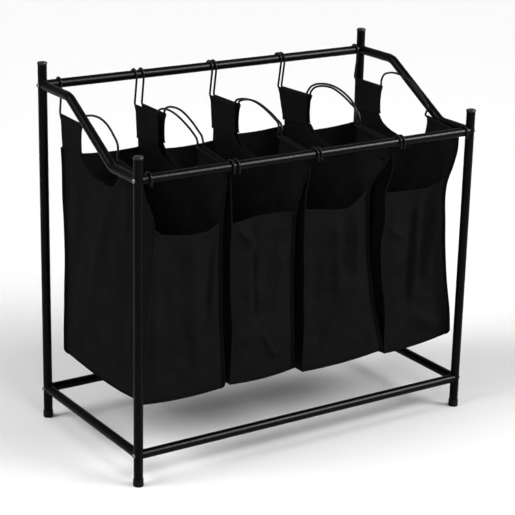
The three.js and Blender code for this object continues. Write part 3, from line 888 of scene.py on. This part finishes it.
def fold_height(p, q, folds):
    """Height at (p, q) of a list of folds, each p0, q0, p1, q1, width, keen, height."""
    total = np.zeros(np.broadcast_shapes(np.shape(p), np.shape(q)))
    for p0, q0, p1, q1, width, keen, height in folds:
        run = np.hypot(p1 - p0, q1 - q0)
        t = ((p - p0) * (p1 - p0) + (q - q0) * (q1 - q0)) / run ** 2
        d = np.abs((p - p0) * (q1 - q0) - (q - q0) * (p1 - p0)) / run
        fade = [eased(share / FOLD_FADE + FOLD_START) for share in (t, 1 - t)]
        total += height * np.exp(-(d / width) ** keen) * fade[0] * fade[1]
    return total


def rumple(p, q, seed, size, height):
    """Handled cloth: a sum of bent waves about size long, with ridges keener than hollows."""
    draw = np.random.default_rng(seed)
    total = np.zeros(np.broadcast_shapes(np.shape(p), np.shape(q)))
    for turn, phase, stretch in draw.uniform([0, 0, 0.7], [pi, 2 * pi, 1.7], (WAVES, 3)):
        k = 2 * pi / (size * stretch)
        along, sideways = p * cos(turn) + q * sin(turn), q * cos(turn) - p * sin(turn)
        wave = np.sin(k * along + phase + WAVE_BEND * np.sin(0.6 * k * sideways + 2 * phase))
        total += 1 - np.abs(wave) ** WAVE_KEEN * WAVE_HOLLOW
    return height * total / WAVES


FRONT_FOLDS = {                  # in (x, z)
    "bag_1": [(-257, 505, -256, 180, 20, 2, 5), (-206, 480, -232, 290, 9, 2, -5),
              (-196, 470, -212, 300, 9, 2, 3), (-300, 500, -330, 300, 26, 2, -3),
              (-345, 470, -352, 230, 12, 2, 3), (-285, 320, -262, 200, 12, 2, -2.5)],
    "bag_2": [(-176, 506, -110, 438, 8, 1.3, 6), (-120, 512, -113, 440, 8, 1.3, -4),
              (-116, 452, -110, 275, 7, 1.3, -6), (-128, 440, -124, 300, 12, 2, 3),
              (-107, 282, -146, 236, 8, 1.3, 5), (-100, 262, -60, 192, 8, 1.3, 5),
              (-60, 480, -95, 330, 16, 2, -4), (-40, 420, -70, 300, 10, 1.4, 3),
              (-165, 300, -150, 200, 14, 2, 3)],
    "bag_3": [(84, 500, 92, 265, 17, 2, 7), (124, 500, 106, 330, 15, 2, -6),
              (175, 345, 30, 188, 12, 1.8, 6), (120, 300, 30, 210, 18, 2, -4),
              (150, 470, 138, 330, 9, 1.8, 4), (30, 480, 36, 250, 18, 2, -3),
              (180, 200, 196, 160, 12, 2, 3)],
    "bag_4": [(206, 436, 276, 397, 7, 1.3, 4), (296, 500, 276, 232, 8, 1.6, -6),
              (310, 490, 292, 250, 11, 2, 4), (352, 510, 308, 270, 12, 1.8, -7),
              (370, 470, 335, 290, 12, 2, 4), (240, 500, 236, 300, 18, 2, 3),
              (280, 235, 380, 175, 14, 2, 4)],
}
SIDE_FOLDS = [                   # in (y, z), shared by all the side panels and shifted a little on each
    (-66, 590, 44, 320, 18, 2, 3), (-108, 590, -104, 470, 9, 1.6, 4),
    (40, 560, 134, 270, 26, 2, -3), (-85, 560, -10, 360, 15, 2, -2), (90, 560, 120, 420, 15, 2, 2),
    (-128, 560, -130, 220, 12, 2, 4), (20, 300, 120, 200, 22, 2, 2.5),
]
print("front folds:", sum(map(len, FRONT_FOLDS.values())))

# %% [markdown]
# ## How cloth would follow the wires
# A bag's wires slide together along the rails to shut its mouth. The mouth would move with
# the wire, the floor and the middle stay. One rule for every piece of a bag's side would
# keep the seams shut: how far a point follows its wire grows both outwards from the
# bag's middle and upwards from its floor, along one slanting direction. Below, that
# direction is worked out, but no piece is bound to a wire by it.

# %% Following a wire
FOLLOW_TOP, FOLLOW_DEPTH, FOLLOW_MARGIN = 585.0, 400.0, 3.0
WALL_Y = {"front": -172.0, "back": 170.0}


def hang(piece, bag, side, *nodes):
    """Works out the slanting way a point would follow one wire at the bag's mouth and the bag itself at its
    floor and middle, but applies none of it; bakes the piece's place into its mesh and hides the nodes it
    stands for.
    """
    back_x, front_x = BAG_WIRES[bag][SIDES.index(side)]
    skew = (back_x - front_x) / (2 * POST_Y)
    outwards = -inward(side) * unit(np.array([1.0, -skew, 0.0]))
    half = min(wire_x(bag, "right", y) - wire_x(bag, "left", y) for y in WALL_Y.values()) / 2 - FOLLOW_MARGIN
    grows = outwards / half + np.array([0, 0, 1 / FOLLOW_DEPTH])
    end = np.array([wire_x(bag, side, 0.0), 0.0, FOLLOW_TOP])
    start = end - grows / (grows @ grows)
    tuple(start * MM)
    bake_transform(piece)
    if nodes:
        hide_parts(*nodes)
    return piece


def thicken(piece, thickness=THICK):
    """Gives a sheet its thickness, half on each side, with crisp edges."""
    mesh = piece.data
    edge_of = np.empty(len(mesh.loops), np.int32)
    mesh.loops.foreach_get("edge_index", edge_of)
    rim = np.bincount(edge_of, minlength=len(mesh.edges)) == 1
    mark = mesh.attributes.get("sharp_edge") or mesh.attributes.new("sharp_edge", "BOOLEAN", "EDGE")
    mark.data.foreach_set("value", rim)
    wall = piece.modifiers.new("thickness", "SOLIDIFY")
    wall.thickness, wall.offset = thickness * MM, 0.0
    return piece


def lengths(grid):
    """Length along the rows and up the columns of a grid, a pair per point: the cloth's own map."""
    across = np.linalg.norm(np.diff(grid, axis=1), axis=2).mean(0)
    up = np.linalg.norm(np.diff(grid, axis=0), axis=2).mean(1)
    u, v = np.concatenate([[0], np.cumsum(across)]), np.concatenate([[0], np.cumsum(up)])
    return np.stack(np.meshgrid(u, v), -1)


# %% [markdown]
# ## Side panels
# A side panel spans from the back seam to the front seam. Its top edge runs level under
# the back tab, drops in the hand scoop and rises to the front tab. A grid of columns
# from back to front carries rows from the floor edge to that top edge. The cloth is
# pulled in at its seams, and the pull dies away towards the middle of the panel.

# %% Side panels
BACK_TAB_END, FRONT_TAB_END = 94.0, -71.0
SCOOP_Y = [-71, -67, -58, -36, 0, 34, 62, 83, 94]
SCOOP_Z = [596, 588, 577, 571, 570, 573, 580, 591, 604]
TAB_LINE_BACK, TAB_LINE_FRONT = (598.0, 604.0), (596.0, 580.0)
SIDE_PULL_REACH, BACK_PULL_REACH = 105.0, 70.0
SIDE_ROWS, SIDE_SAG, SIDE_BELLY, FOLD_SHIFT = 96, 5, 5, 12
BELLY_FROM, BELLY_RISE = 158, 430
SEAM_HOLD, FLOOR_HOLD, TOP_HOLD, TOP_LINE = 34, 60, 60, 606    # where the cloth is held flat

column_y = np.concatenate([np.linspace(WALL_Y["back"], BACK_TAB_END, 17)[:-1],
                           np.linspace(BACK_TAB_END, FRONT_TAB_END, 49)[:-1],
                           np.linspace(FRONT_TAB_END, WALL_Y["front"], 26)])
under_back_tab = np.interp(column_y, [BACK_TAB_END, WALL_Y["back"]], TAB_LINE_BACK[::-1])
under_front_tab = np.interp(column_y, [WALL_Y["front"], FRONT_TAB_END], TAB_LINE_FRONT[::-1])
top_z = np.where(column_y >= BACK_TAB_END, under_back_tab,
                 np.where(column_y <= FRONT_TAB_END, under_front_tab,
                          through(column_y, SCOOP_Y, SCOOP_Z)))
from_back = (WALL_Y["back"] - column_y) / (WALL_Y["back"] - WALL_Y["front"])
scoop_columns = (column_y <= BACK_TAB_END) & (column_y >= FRONT_TAB_END)


def side_grid(bag, side):
    """The side panel's points: floor edge to top edge, back seam to front seam."""
    front_low, back_low = (BOTTOM[bag][SIDES.index(side)], BOTTOM[bag][2 + SIDES.index(side)])
    bottom = back_low + (front_low - back_low) * from_back
    bottom = bottom - SIDE_SAG * np.sin(pi * from_back) ** 1.5
    height, tuck = wall_rows(bottom[None], top_z[None], SIDE_ROWS)
    _, back_y = seam(bag, side, "back", height, tuck)
    _, front_y = seam(bag, side, "front", height, tuck)
    y = back_y + (front_y - back_y) * from_back
    heights, pulled, _ = np.array(FRONT_SEAMS[bag, side], float).T
    back_heights, back_pulled, _ = np.array(BACK_SEAM, float).T
    off_front, off_back = y - front_y, back_y - y
    pull = through(height, heights, pulled) * (1 - eased(off_front / SIDE_PULL_REACH))
    pull += through(height, back_heights, back_pulled) * (1 - eased(off_back / BACK_PULL_REACH))
    seed = 10 * int(bag[-1]) + SIDES.index(side)
    drift = FOLD_SHIFT * np.sin(seed * np.array([1.0, 2.3]))
    life = fold_height(y + drift[0], height + drift[1], SIDE_FOLDS)
    life += rumple(y, height, seed, 130, 3.0) + rumple(y, height, seed + 5, 45, 1.2)
    rise = np.clip((height - BELLY_FROM) / BELLY_RISE, 0, 1)
    belly = SIDE_BELLY * np.sin(pi * from_back) * np.sin(pi * rise)
    top_hold = eased((TOP_LINE - height) / TOP_HOLD)
    hold = eased(off_front / SEAM_HOLD) * eased(off_back / SEAM_HOLD)
    hold = hold * eased((height - bottom) / FLOOR_HOLD) * top_hold
    x = wire_x(bag, side, y) + inward(side) * (pull + tuck - (life * hold + belly * top_hold))
    return np.stack([x, y, height], -1)


side_grids = {(bag, side): side_grid(bag, side) for bag in BAG_WIRES for side in SIDES}
for (bag, side), grid in side_grids.items():
    panel = sheet(f"{bag}_side_{side}", grid, CLOTH, flip=side == "right", uv=lengths(grid))
    hang(thicken(panel), bag, side, bag)
print("side panels:", len(side_grids), "of", grid.shape[0] * grid.shape[1], "points")

# %% [markdown]
# ## Front and back panels
# Each is made in two halves that meet on the bag's middle line, one beside each wire.
# Across a half, x and y run from the middle to the shared seam.
# The front's top edge is the opening: it hangs in its own curve from seam to seam.

# %% Front and back panels
HALF_COLUMNS, WALL_ROWS, RIM_SAG, FLOOR_EDGE_SAG = 27, {"front": 82, "back": 100}, 5, 4
WALL_BELLY, WALL_BELLY_FROM, WALL_BELLY_RISE = {"front": 3, "back": 7}, 150, 400
WALL_FOLDS = 1.7                 # how much deeper the front's folds hang than they are listed


def wall_half(bag, side, end, reach, bottom, top):
    """Half of a front or back panel. reach goes from 0 on the middle line to 1 at the seam."""
    height, tuck = wall_rows(bottom[None], top[None], WALL_ROWS[end])
    seam_x, seam_y = seam(bag, side, end, height, tuck)
    other = "right" if side == "left" else "left"
    _, other_y = seam(bag, other, end, height, tuck)
    middle_y = (seam_y + other_y) / 2
    middle_x = (wire_x(bag, "left", WALL_Y[end]) + wire_x(bag, "right", WALL_Y[end])) / 2
    x = middle_x + (seam_x - middle_x) * reach
    y = middle_y + (seam_y - middle_y) * reach
    outwards = -1 if end == "front" else 1
    seed = 10 * int(bag[-1]) + (3 if end == "front" else 4)
    life = rumple(x, height, seed, 100, 5.0) + rumple(x, height, seed + 5, 38, 2.2)
    if end == "front":
        life += WALL_FOLDS * fold_height(x, height, FRONT_FOLDS[bag])
    rise = np.clip((height - WALL_BELLY_FROM) / WALL_BELLY_RISE, 0, 1)
    belly = WALL_BELLY[end] * (1 - reach ** 2) * np.sin(pi * rise)
    hold = eased(np.abs(seam_x - x) / 26) * eased((height - bottom) / 45)
    hold = hold * (0.35 + 0.65 * eased((top - height) / 40))
    return np.stack([x, y + outwards * (life * hold + belly), height], -1)


wall_grids = {}
for bag in BAG_WIRES:
    front_left, front_right, back_left, back_right = BOTTOM[bag]
    reach = np.linspace(0, 1, HALF_COLUMNS)
    for side, place in (("left", -reach), ("right", reach)):
        sag = 1 - place ** 2
        tops = {"front": through(place, *OPENING[bag]),
                "back": np.interp(place, [-1, 1], BACK_RIM[bag]) - RIM_SAG * sag}
        for end, left_z, right_z in (("front", front_left, front_right), ("back", back_left, back_right)):
            low = (left_z + right_z) / 2 + (right_z - left_z) / 2 * place - FLOOR_EDGE_SAG * sag
            wall_grids[bag, side, end] = wall_half(bag, side, end, reach, low, tops[end])
for (bag, side, end), grid in wall_grids.items():
    outside = (side == "left") == (end == "front")
    panel = sheet(f"{bag}_{end}_{side}", grid, CLOTH, flip=outside, uv=lengths(grid))
    hang(thicken(panel), bag, side, bag)
print("front and back halves:", len(wall_grids))

# %% [markdown]
# ## Floors
# The floor joins the lowest rows of the four walls. Its points blend the four edge
# curves: front and back across, left and right along, less the corners counted twice.
# That is a Coons patch. In the middle it hangs a little lower.

# %% Floors
FLOOR_SAG, FLOOR_ACROSS, FLOOR_ALONG, SAG_SPREAD = 5.0, 41, 65, 1.2


def lowest_row(bag, end):
    """The lowest row of a front or back wall, from its left seam to its right one."""
    left_half, right_half = wall_grids[bag, "left", end], wall_grids[bag, "right", end]
    return np.concatenate([left_half[0, ::-1], right_half[0, 1:]])


for bag in BAG_WIRES:
    u, v = np.linspace(0, 1, FLOOR_ACROSS), np.linspace(0, 1, FLOOR_ALONG)
    front, back = (resampled(lowest_row(bag, end), u)[None] for end in ("front", "back"))
    left = resampled(side_grids[bag, "left"][0, ::-1], v)[:, None]
    right_edge = resampled(side_grids[bag, "right"][0, ::-1], v)[:, None]
    a, b = u[None, :, None], v[:, None, None]
    corners = ((1 - b) * ((1 - a) * front[:, :1] + a * front[:, -1:])
               + b * ((1 - a) * back[:, :1] + a * back[:, -1:]))
    grid = (1 - b) * front + b * back + (1 - a) * left + a * right_edge - corners
    sag = FLOOR_SAG * eased(4 * a * (1 - a) * SAG_SPREAD) * eased(4 * b * (1 - b) * SAG_SPREAD)
    crumpled = rumple(grid[..., 0], grid[..., 1], 7, 60, 1.2)
    grid[..., 2] -= sag[..., 0] - crumpled * sag[..., 0] / FLOOR_SAG
    panel = sheet(f"{bag}_floor", grid, CLOTH, flip=True, uv=lengths(grid))
    finish_piece(thicken(panel), bag, "bag_cloth", bag)
print("floors:", len(BAG_WIRES))

# %% [markdown]
# ## Tabs and sleeves
# A tab is a strip of cloth folded over the wire: up the outside of the side panel, over
# the wire in a half turn, and down the inside. Below the wire a line of stitches draws
# the two layers together, which leaves the sleeve that the wire lies in. Across the
# strip runs the wire; along it runs one profile of a height and an offset. The strip's
# two edges are curves, because the rear tab is waisted where the hand scoop cuts in.

# %% Tabs
SLEEVE_R, LAYER_OFF, SLEEVE_DROP = 3.1, 0.95, 13.0
LIFT_OFF, LIFT_RISE = 1.25, 8    # a hem stands off the panel by this, fading over this height
TAB_COLUMNS, TAB_ROWS, FOLD_ROWS, TAB_THICK = 25, 22, 7, 0.8
BACK_TAB_OUTER = ([598, 612, 640, 665], [182, 184, 187, 189])
BACK_TAB_INNER = ([604, 614, 630, 646, 665], [94, 95, 96, 95, 92])
FRONT_TAB_OUTER = ([580, 596, 608, 622], [-172, -172, -170, -167])
FRONT_TAB_INNER = ([596, 606, 618, 633], [-71, -73, -75, -76])


def tab_grid(bag, side, end):
    """The folded strip, from its outer hem over the wire to its inner hem."""
    if end == "back":
        outer, inner = BACK_TAB_OUTER, BACK_TAB_INNER
    else:
        outer, inner = FRONT_TAB_OUTER, FRONT_TAB_INNER
    share = np.linspace(0, 1, TAB_COLUMNS)[None]
    climb = np.linspace(0, 1, TAB_ROWS)
    rise = np.concatenate([climb, np.ones(FOLD_ROWS), np.linspace(1, 0, TAB_ROWS)])[:, None]
    half_turn = np.linspace(pi / 2, -pi / 2, FOLD_ROWS + 2)[1:-1]
    over = np.concatenate([np.full(TAB_ROWS, pi / 2), half_turn, np.full(TAB_ROWS, -pi / 2)])[:, None]
    low = outer[0][0] + (inner[0][0] - outer[0][0]) * share
    wire = np.full_like(share, BACK_SLEEVE_Z) if end == "back" else front_sleeve_z(
        outer[1][-1] + (inner[1][-1] - outer[1][-1]) * share)
    height = low + (wire - low) * rise
    edge_a = through(outer[0][0] + (outer[0][-1] - outer[0][0]) * rise, *outer)
    edge_b = through(inner[0][0] + (inner[0][-1] - inner[0][0]) * rise, *inner)
    if end == "back":
        lean = BACK_LEAN.get((bag, side), 0.0)
        edge_a = edge_a - lean * (1 - eased((height - low) / TAB_LEAN_RISE))
    y = edge_a + (edge_b - edge_a) * share
    below = wire - height
    spread = LAYER_OFF + (SLEEVE_R - LAYER_OFF) * (1 - eased(below / SLEEVE_DROP))
    spread = spread + LIFT_OFF * (1 - eased((height - low) / LIFT_RISE))
    seed = 100 + 10 * int(bag[-1]) + 2 * SIDES.index(side) + (end == "front")
    sway = rumple(y, height, seed, 60, 1.6) * eased((height - low) / 20) * eased(below / 16)
    x = wire_x(bag, side, y) - inward(side) * (np.sin(over) * spread + sway)
    return np.stack([x, y, height + np.cos(over) * SLEEVE_R], -1)


tab_grids = {(bag, side, end): tab_grid(bag, side, end)
             for bag in BAG_WIRES for side in SIDES for end in ("back", "front")}
for (bag, side, end), grid in tab_grids.items():
    flipped = (side == "left") != (end == "back")
    tab = sheet(f"{bag}_{end}_tab_{side}", grid, CLOTH, flip=flipped, uv=lengths(grid))
    finish_piece(thicken(tab, TAB_THICK), f"{bag}_wire_{side}", "bag_cloth")
print("tabs:", len(tab_grids))

# %% [markdown]
# ## Bindings and hems
# A raw edge would fray, so every edge is finished. The upright seams are bound: tape is
# folded over both raw edges, and the fold stands out from the corner as a flat ridge.
# The opening, the rim at the back and the hand scoops are hemmed: the cloth is folded
# over itself, so the edge is thicker and rounder than the panel. Each is a flat band
# with round edges, carried along the panel's own edge. The tape's ridge undulates a
# little, as hand-fed tape does.

# %% Bindings and hems
BINDING, BINDING_THICK, HEM, HEM_THICK = 8.5, 2.3, 8.0, 2.3
TAB_HEM, TAB_HEM_THICK, TAB_HEM_INSET = 5.0, 3.4, 1.6
HEM_INSET = 0.45                 # the band's middle lies this share of its width in from the edge
BINDING_GRIP = 1.2               # how much of the folded tape covers the panels
BINDING_TOP, BINDING_ROWS = {"front": 612.0, "back": 600.0}, 110
FLUTTER, FLUTTER_LENGTH = 0.5, 17
BAND_SIDES, BAND_SQUARE = 14, 0.75
EDGE_STEP, TAB_EDGE_STEP = 4.0, 3.0


def band(name, path, across, width, thick, finish):
    """A flat band with round edges, closed at both ends, with its lengths as its map."""
    rings = carried(path, across, width, thick, sides=BAND_SIDES, square=BAND_SQUARE)
    points, faces = loft_points(rings)
    run = run_of(path)
    girth = np.linspace(0, 2 * (width + thick), BAND_SIDES)
    pairs = np.stack(np.meshgrid(girth, run), -1).reshape(-1, 2)
    pairs = np.concatenate([pairs, [[0, run[0]], [0, run[-1]]]])
    return mesh_piece(name, points, faces, finish, pairs, sharp=0)


def edge_line(edge, inner):
    """The hem's middle line along a panel's edge, and the way out over that edge on it."""
    path = even(edge, EDGE_STEP)
    across = unit(path - resampled(inner, np.linspace(0, 1, len(path))))
    return path - across * HEM * HEM_INSET, across


def binding_line(bag, side, end):
    """The middle of a seam's tape, with a small wave sideways, and the way out from the corner."""
    bottom = float(BOTTOM[bag][SIDES.index(side) + (0 if end == "front" else 2)])
    height, tuck = wall_rows(np.array([[bottom]]), np.array([[BINDING_TOP[end]]]), BINDING_ROWS)
    x, y = seam(bag, side, end, height, tuck)
    path = np.stack([x, y, height], -1)[:, 0]
    diagonal = unit(np.array([-inward(side), -1.0 if end == "front" else 1.0, 0.0]))
    phase = SIDES.index(side) * 2 + len(bag) + int(bag[-1])
    flutter = FLUTTER * np.sin(path[:, 2] / FLUTTER_LENGTH + phase)[:, None]
    beside = diagonal[[1, 0, 2]] * [1, -1, 0]
    return path + diagonal * (BINDING / 2 - BINDING_GRIP) + beside * flutter, diagonal


def tab_hem_line(bag, side, end, column, next_column):
    """The line of a tab's hem round both layers, in the wire's plane, and the way out over it."""
    grid = tab_grids[bag, side, end]
    rows = slice(1, (grid.shape[0] + 1) // 2 - 3)
    path = even(grid[rows, column], TAB_EDGE_STEP)
    inner = resampled(grid[rows, next_column], np.linspace(0, 1, len(path)))
    for line in (path, inner):
        line[:, 0] = wire_x(bag, side, line[:, 1])
    across = unit(path - inner)
    return path - across * TAB_HEM_INSET, across


binding_lines, hem_lines = {}, {}
for bag in BAG_WIRES:
    for side in SIDES:
        for end in ("front", "back"):
            ridge, diagonal = binding_line(bag, side, end)
            binding_lines[bag, side, end] = (ridge, diagonal)
            name = f"{bag}_{end}_binding_{side}"
            hang(band(name, ridge, diagonal, BINDING, BINDING_THICK, TAPE), bag, side)

        edges = {"scoop": side_grids[bag, side][:, scoop_columns],
                 "front": wall_grids[bag, side, "front"], "back": wall_grids[bag, side, "back"]}
        for edge_name, grid in edges.items():
            path, across = edge_line(grid[-1], grid[-3])
            hem_lines[bag, side, edge_name] = (path, across)
            name = f"{bag}_{edge_name}_hem_{side}"
            hang(band(name, path, across, HEM, HEM_THICK, CLOTH), bag, side)

        for end in ("front", "back"):
            for edge, column, next_column in (("outer", 0, 2), ("inner", -1, -3)):
                path, across = tab_hem_line(bag, side, end, column, next_column)
                name = f"{bag}_{end}_tab_{edge}_hem_{side}"
                hem = band(name, path, across, TAB_HEM, TAB_HEM_THICK, CLOTH)
                finish_piece(hem, f"{bag}_wire_{side}", "bag_cloth")
print("bindings:", len(binding_lines), " hems:", len(hem_lines))

# %% [markdown]
# ## Bottom seams
# The floor is sewn in with a narrow bound seam that runs all the way round, just under
# the fold of the walls. It is the same tape, laid flat, on a path made of the four
# walls' lowest rows.

# %% Bottom seams
LOW_TAPE, LOW_TAPE_THICK, LOW_TAPE_DROP = 6.0, 2.2, 1.5
LOW_TAPE_TILT = 0.4              # outwards for each length down

for bag in BAG_WIRES:
    loop = np.concatenate([
        wall_grids[bag, "left", "front"][2, ::-1], wall_grids[bag, "right", "front"][2, 1:],
        side_grids[bag, "right"][2, ::-1], wall_grids[bag, "right", "back"][2, ::-1],
        wall_grids[bag, "left", "back"][2, 1:], side_grids[bag, "left"][2]])
    loop = even(loop, EDGE_STEP)
    out = unit((loop - loop.mean(0)) * [1, 1, 0])
    tape = band(f"{bag}_bottom_binding", loop + out * 1.0 - [0, 0, LOW_TAPE_DROP],
                out * LOW_TAPE_TILT - [0, 0, 1.0], LOW_TAPE, LOW_TAPE_THICK, TAPE)
    finish_piece(tape, bag, "bag_cloth")
print("bottom seams:", len(BAG_WIRES))

# %% [markdown]
# ## Stitches
# A machine's stitches are short lengths of thread that sink into the cloth at both ends.
# A texture could fake them, but a raised thread catches the light. Each stitch is a tiny
# capsule of four six-sided rings; all the stitches of one line are worked out together
# from evenly spaced places on a path, and stand just proud of the cloth.

# %% Stitches
PITCH_STEP, STITCH, THREAD_WIDE = 3.6, 2.5, 0.75
HEM_STITCH_IN, BINDING_STITCH_IN = 2.2, 1.8      # how far the line lies in from the band's middle
TAB_PROUD = 0.45
RING_AT = np.array([-0.5, -0.32, 0.32, 0.5])
RING_SIZE = np.array([0.3, 1.0, 1.0, 0.3])
RING_ANGLE = np.linspace(0, 2 * pi, 6, endpoint=False)


def stitch_line(path, across, proud):
    """Points and faces of stitches on a path. A stitch point = place + its share of the stitch
    length along the path + its ring's radius round it, lifted by proud off the cloth."""
    run = run_of(path)
    at = np.arange(PITCH_STEP, run[-1] - PITCH_STEP / 2, PITCH_STEP)
    place = read_at(path, run, at)
    along = unit(read_at(path, run, at + 1) - place)
    beside = read_at(np.broadcast_to(across, path.shape), run, at)
    beside = unit(beside - (beside * along).sum(-1, keepdims=True) * along)
    off = np.cross(along, beside)
    radius = THREAD_WIDE / 2 * RING_SIZE
    c, d = np.cos(RING_ANGLE), np.sin(RING_ANGLE)
    middle = (place + proud * off)[:, None, None]
    rings = (middle + STITCH * RING_AT[None, :, None, None] * along[:, None, None]
             + radius[None, :, None, None] * c[None, None, :, None] * beside[:, None, None]
             + radius[None, :, None, None] * d[None, None, :, None] * off[:, None, None])
    count, sides = len(at), len(RING_ANGLE)
    one = grid_faces(len(RING_AT), sides, around=True)
    faces = (one[None] + np.arange(count)[:, None, None] * len(RING_AT) * sides).reshape(-1, 4).tolist()
    first = np.arange(count) * len(RING_AT) * sides
    ends = np.concatenate([first[:, None] + np.arange(sides)[::-1],
                           first[:, None] + (len(RING_AT) - 1) * sides + np.arange(sides)])
    return rings.reshape(-1, 3), faces + ends.tolist()


def sewn(name, lines):
    """One piece from the stitches of several lines, and how many stitches it has."""
    thread = mesh_piece(name, *joined(lines), THREAD, sharp=0)
    return thread, len(thread.data.vertices) // (len(RING_AT) * len(RING_ANGLE))


def tab_lines(bag, side, end):
    """The four lines of a tab: on each layer, one below the sleeve and one at the hem."""
    grid = tab_grids[bag, side, end]
    middle = grid.shape[1] // 2
    drop = np.linalg.norm(grid[TAB_ROWS - 1, middle] - grid[0, middle])
    sleeve_row = round((TAB_ROWS - 1) * (1 - SLEEVE_DROP / drop))
    proud = -inward(side) * TAB_PROUD
    return [stitch_line(grid[row], unit(grid[row + 1] - grid[row - 1]), proud)
            for row in (sleeve_row, 2, len(grid) - 1 - sleeve_row, len(grid) - 3)]


stitches = 0
for bag in BAG_WIRES:
    for side in SIDES:
        lines = []
        for edge_name in ("scoop", "front", "back"):
            path, across = hem_lines[bag, side, edge_name]
            lines += [stitch_line(path - across * HEM_STITCH_IN, across, face * (HEM_THICK / 2))
                      for face in (1, -1)]
        for end in ("front", "back"):
            ridge, diagonal = binding_lines[bag, side, end]
            lines += [stitch_line(ridge - diagonal * BINDING_STITCH_IN, diagonal,
                                  face * (BINDING_THICK / 2)) for face in (1, -1)]
        thread, count = sewn(f"{bag}_stitches_{side}", lines)
        hang(thread, bag, side)
        stitches += count

        lines = tab_lines(bag, side, "front") + tab_lines(bag, side, "back")
        thread, count = sewn(f"{bag}_tab_stitches_{side}", lines)
        finish_piece(thread, f"{bag}_wire_{side}", "bag_cloth")
        stitches += count
print("stitches:", stitches)
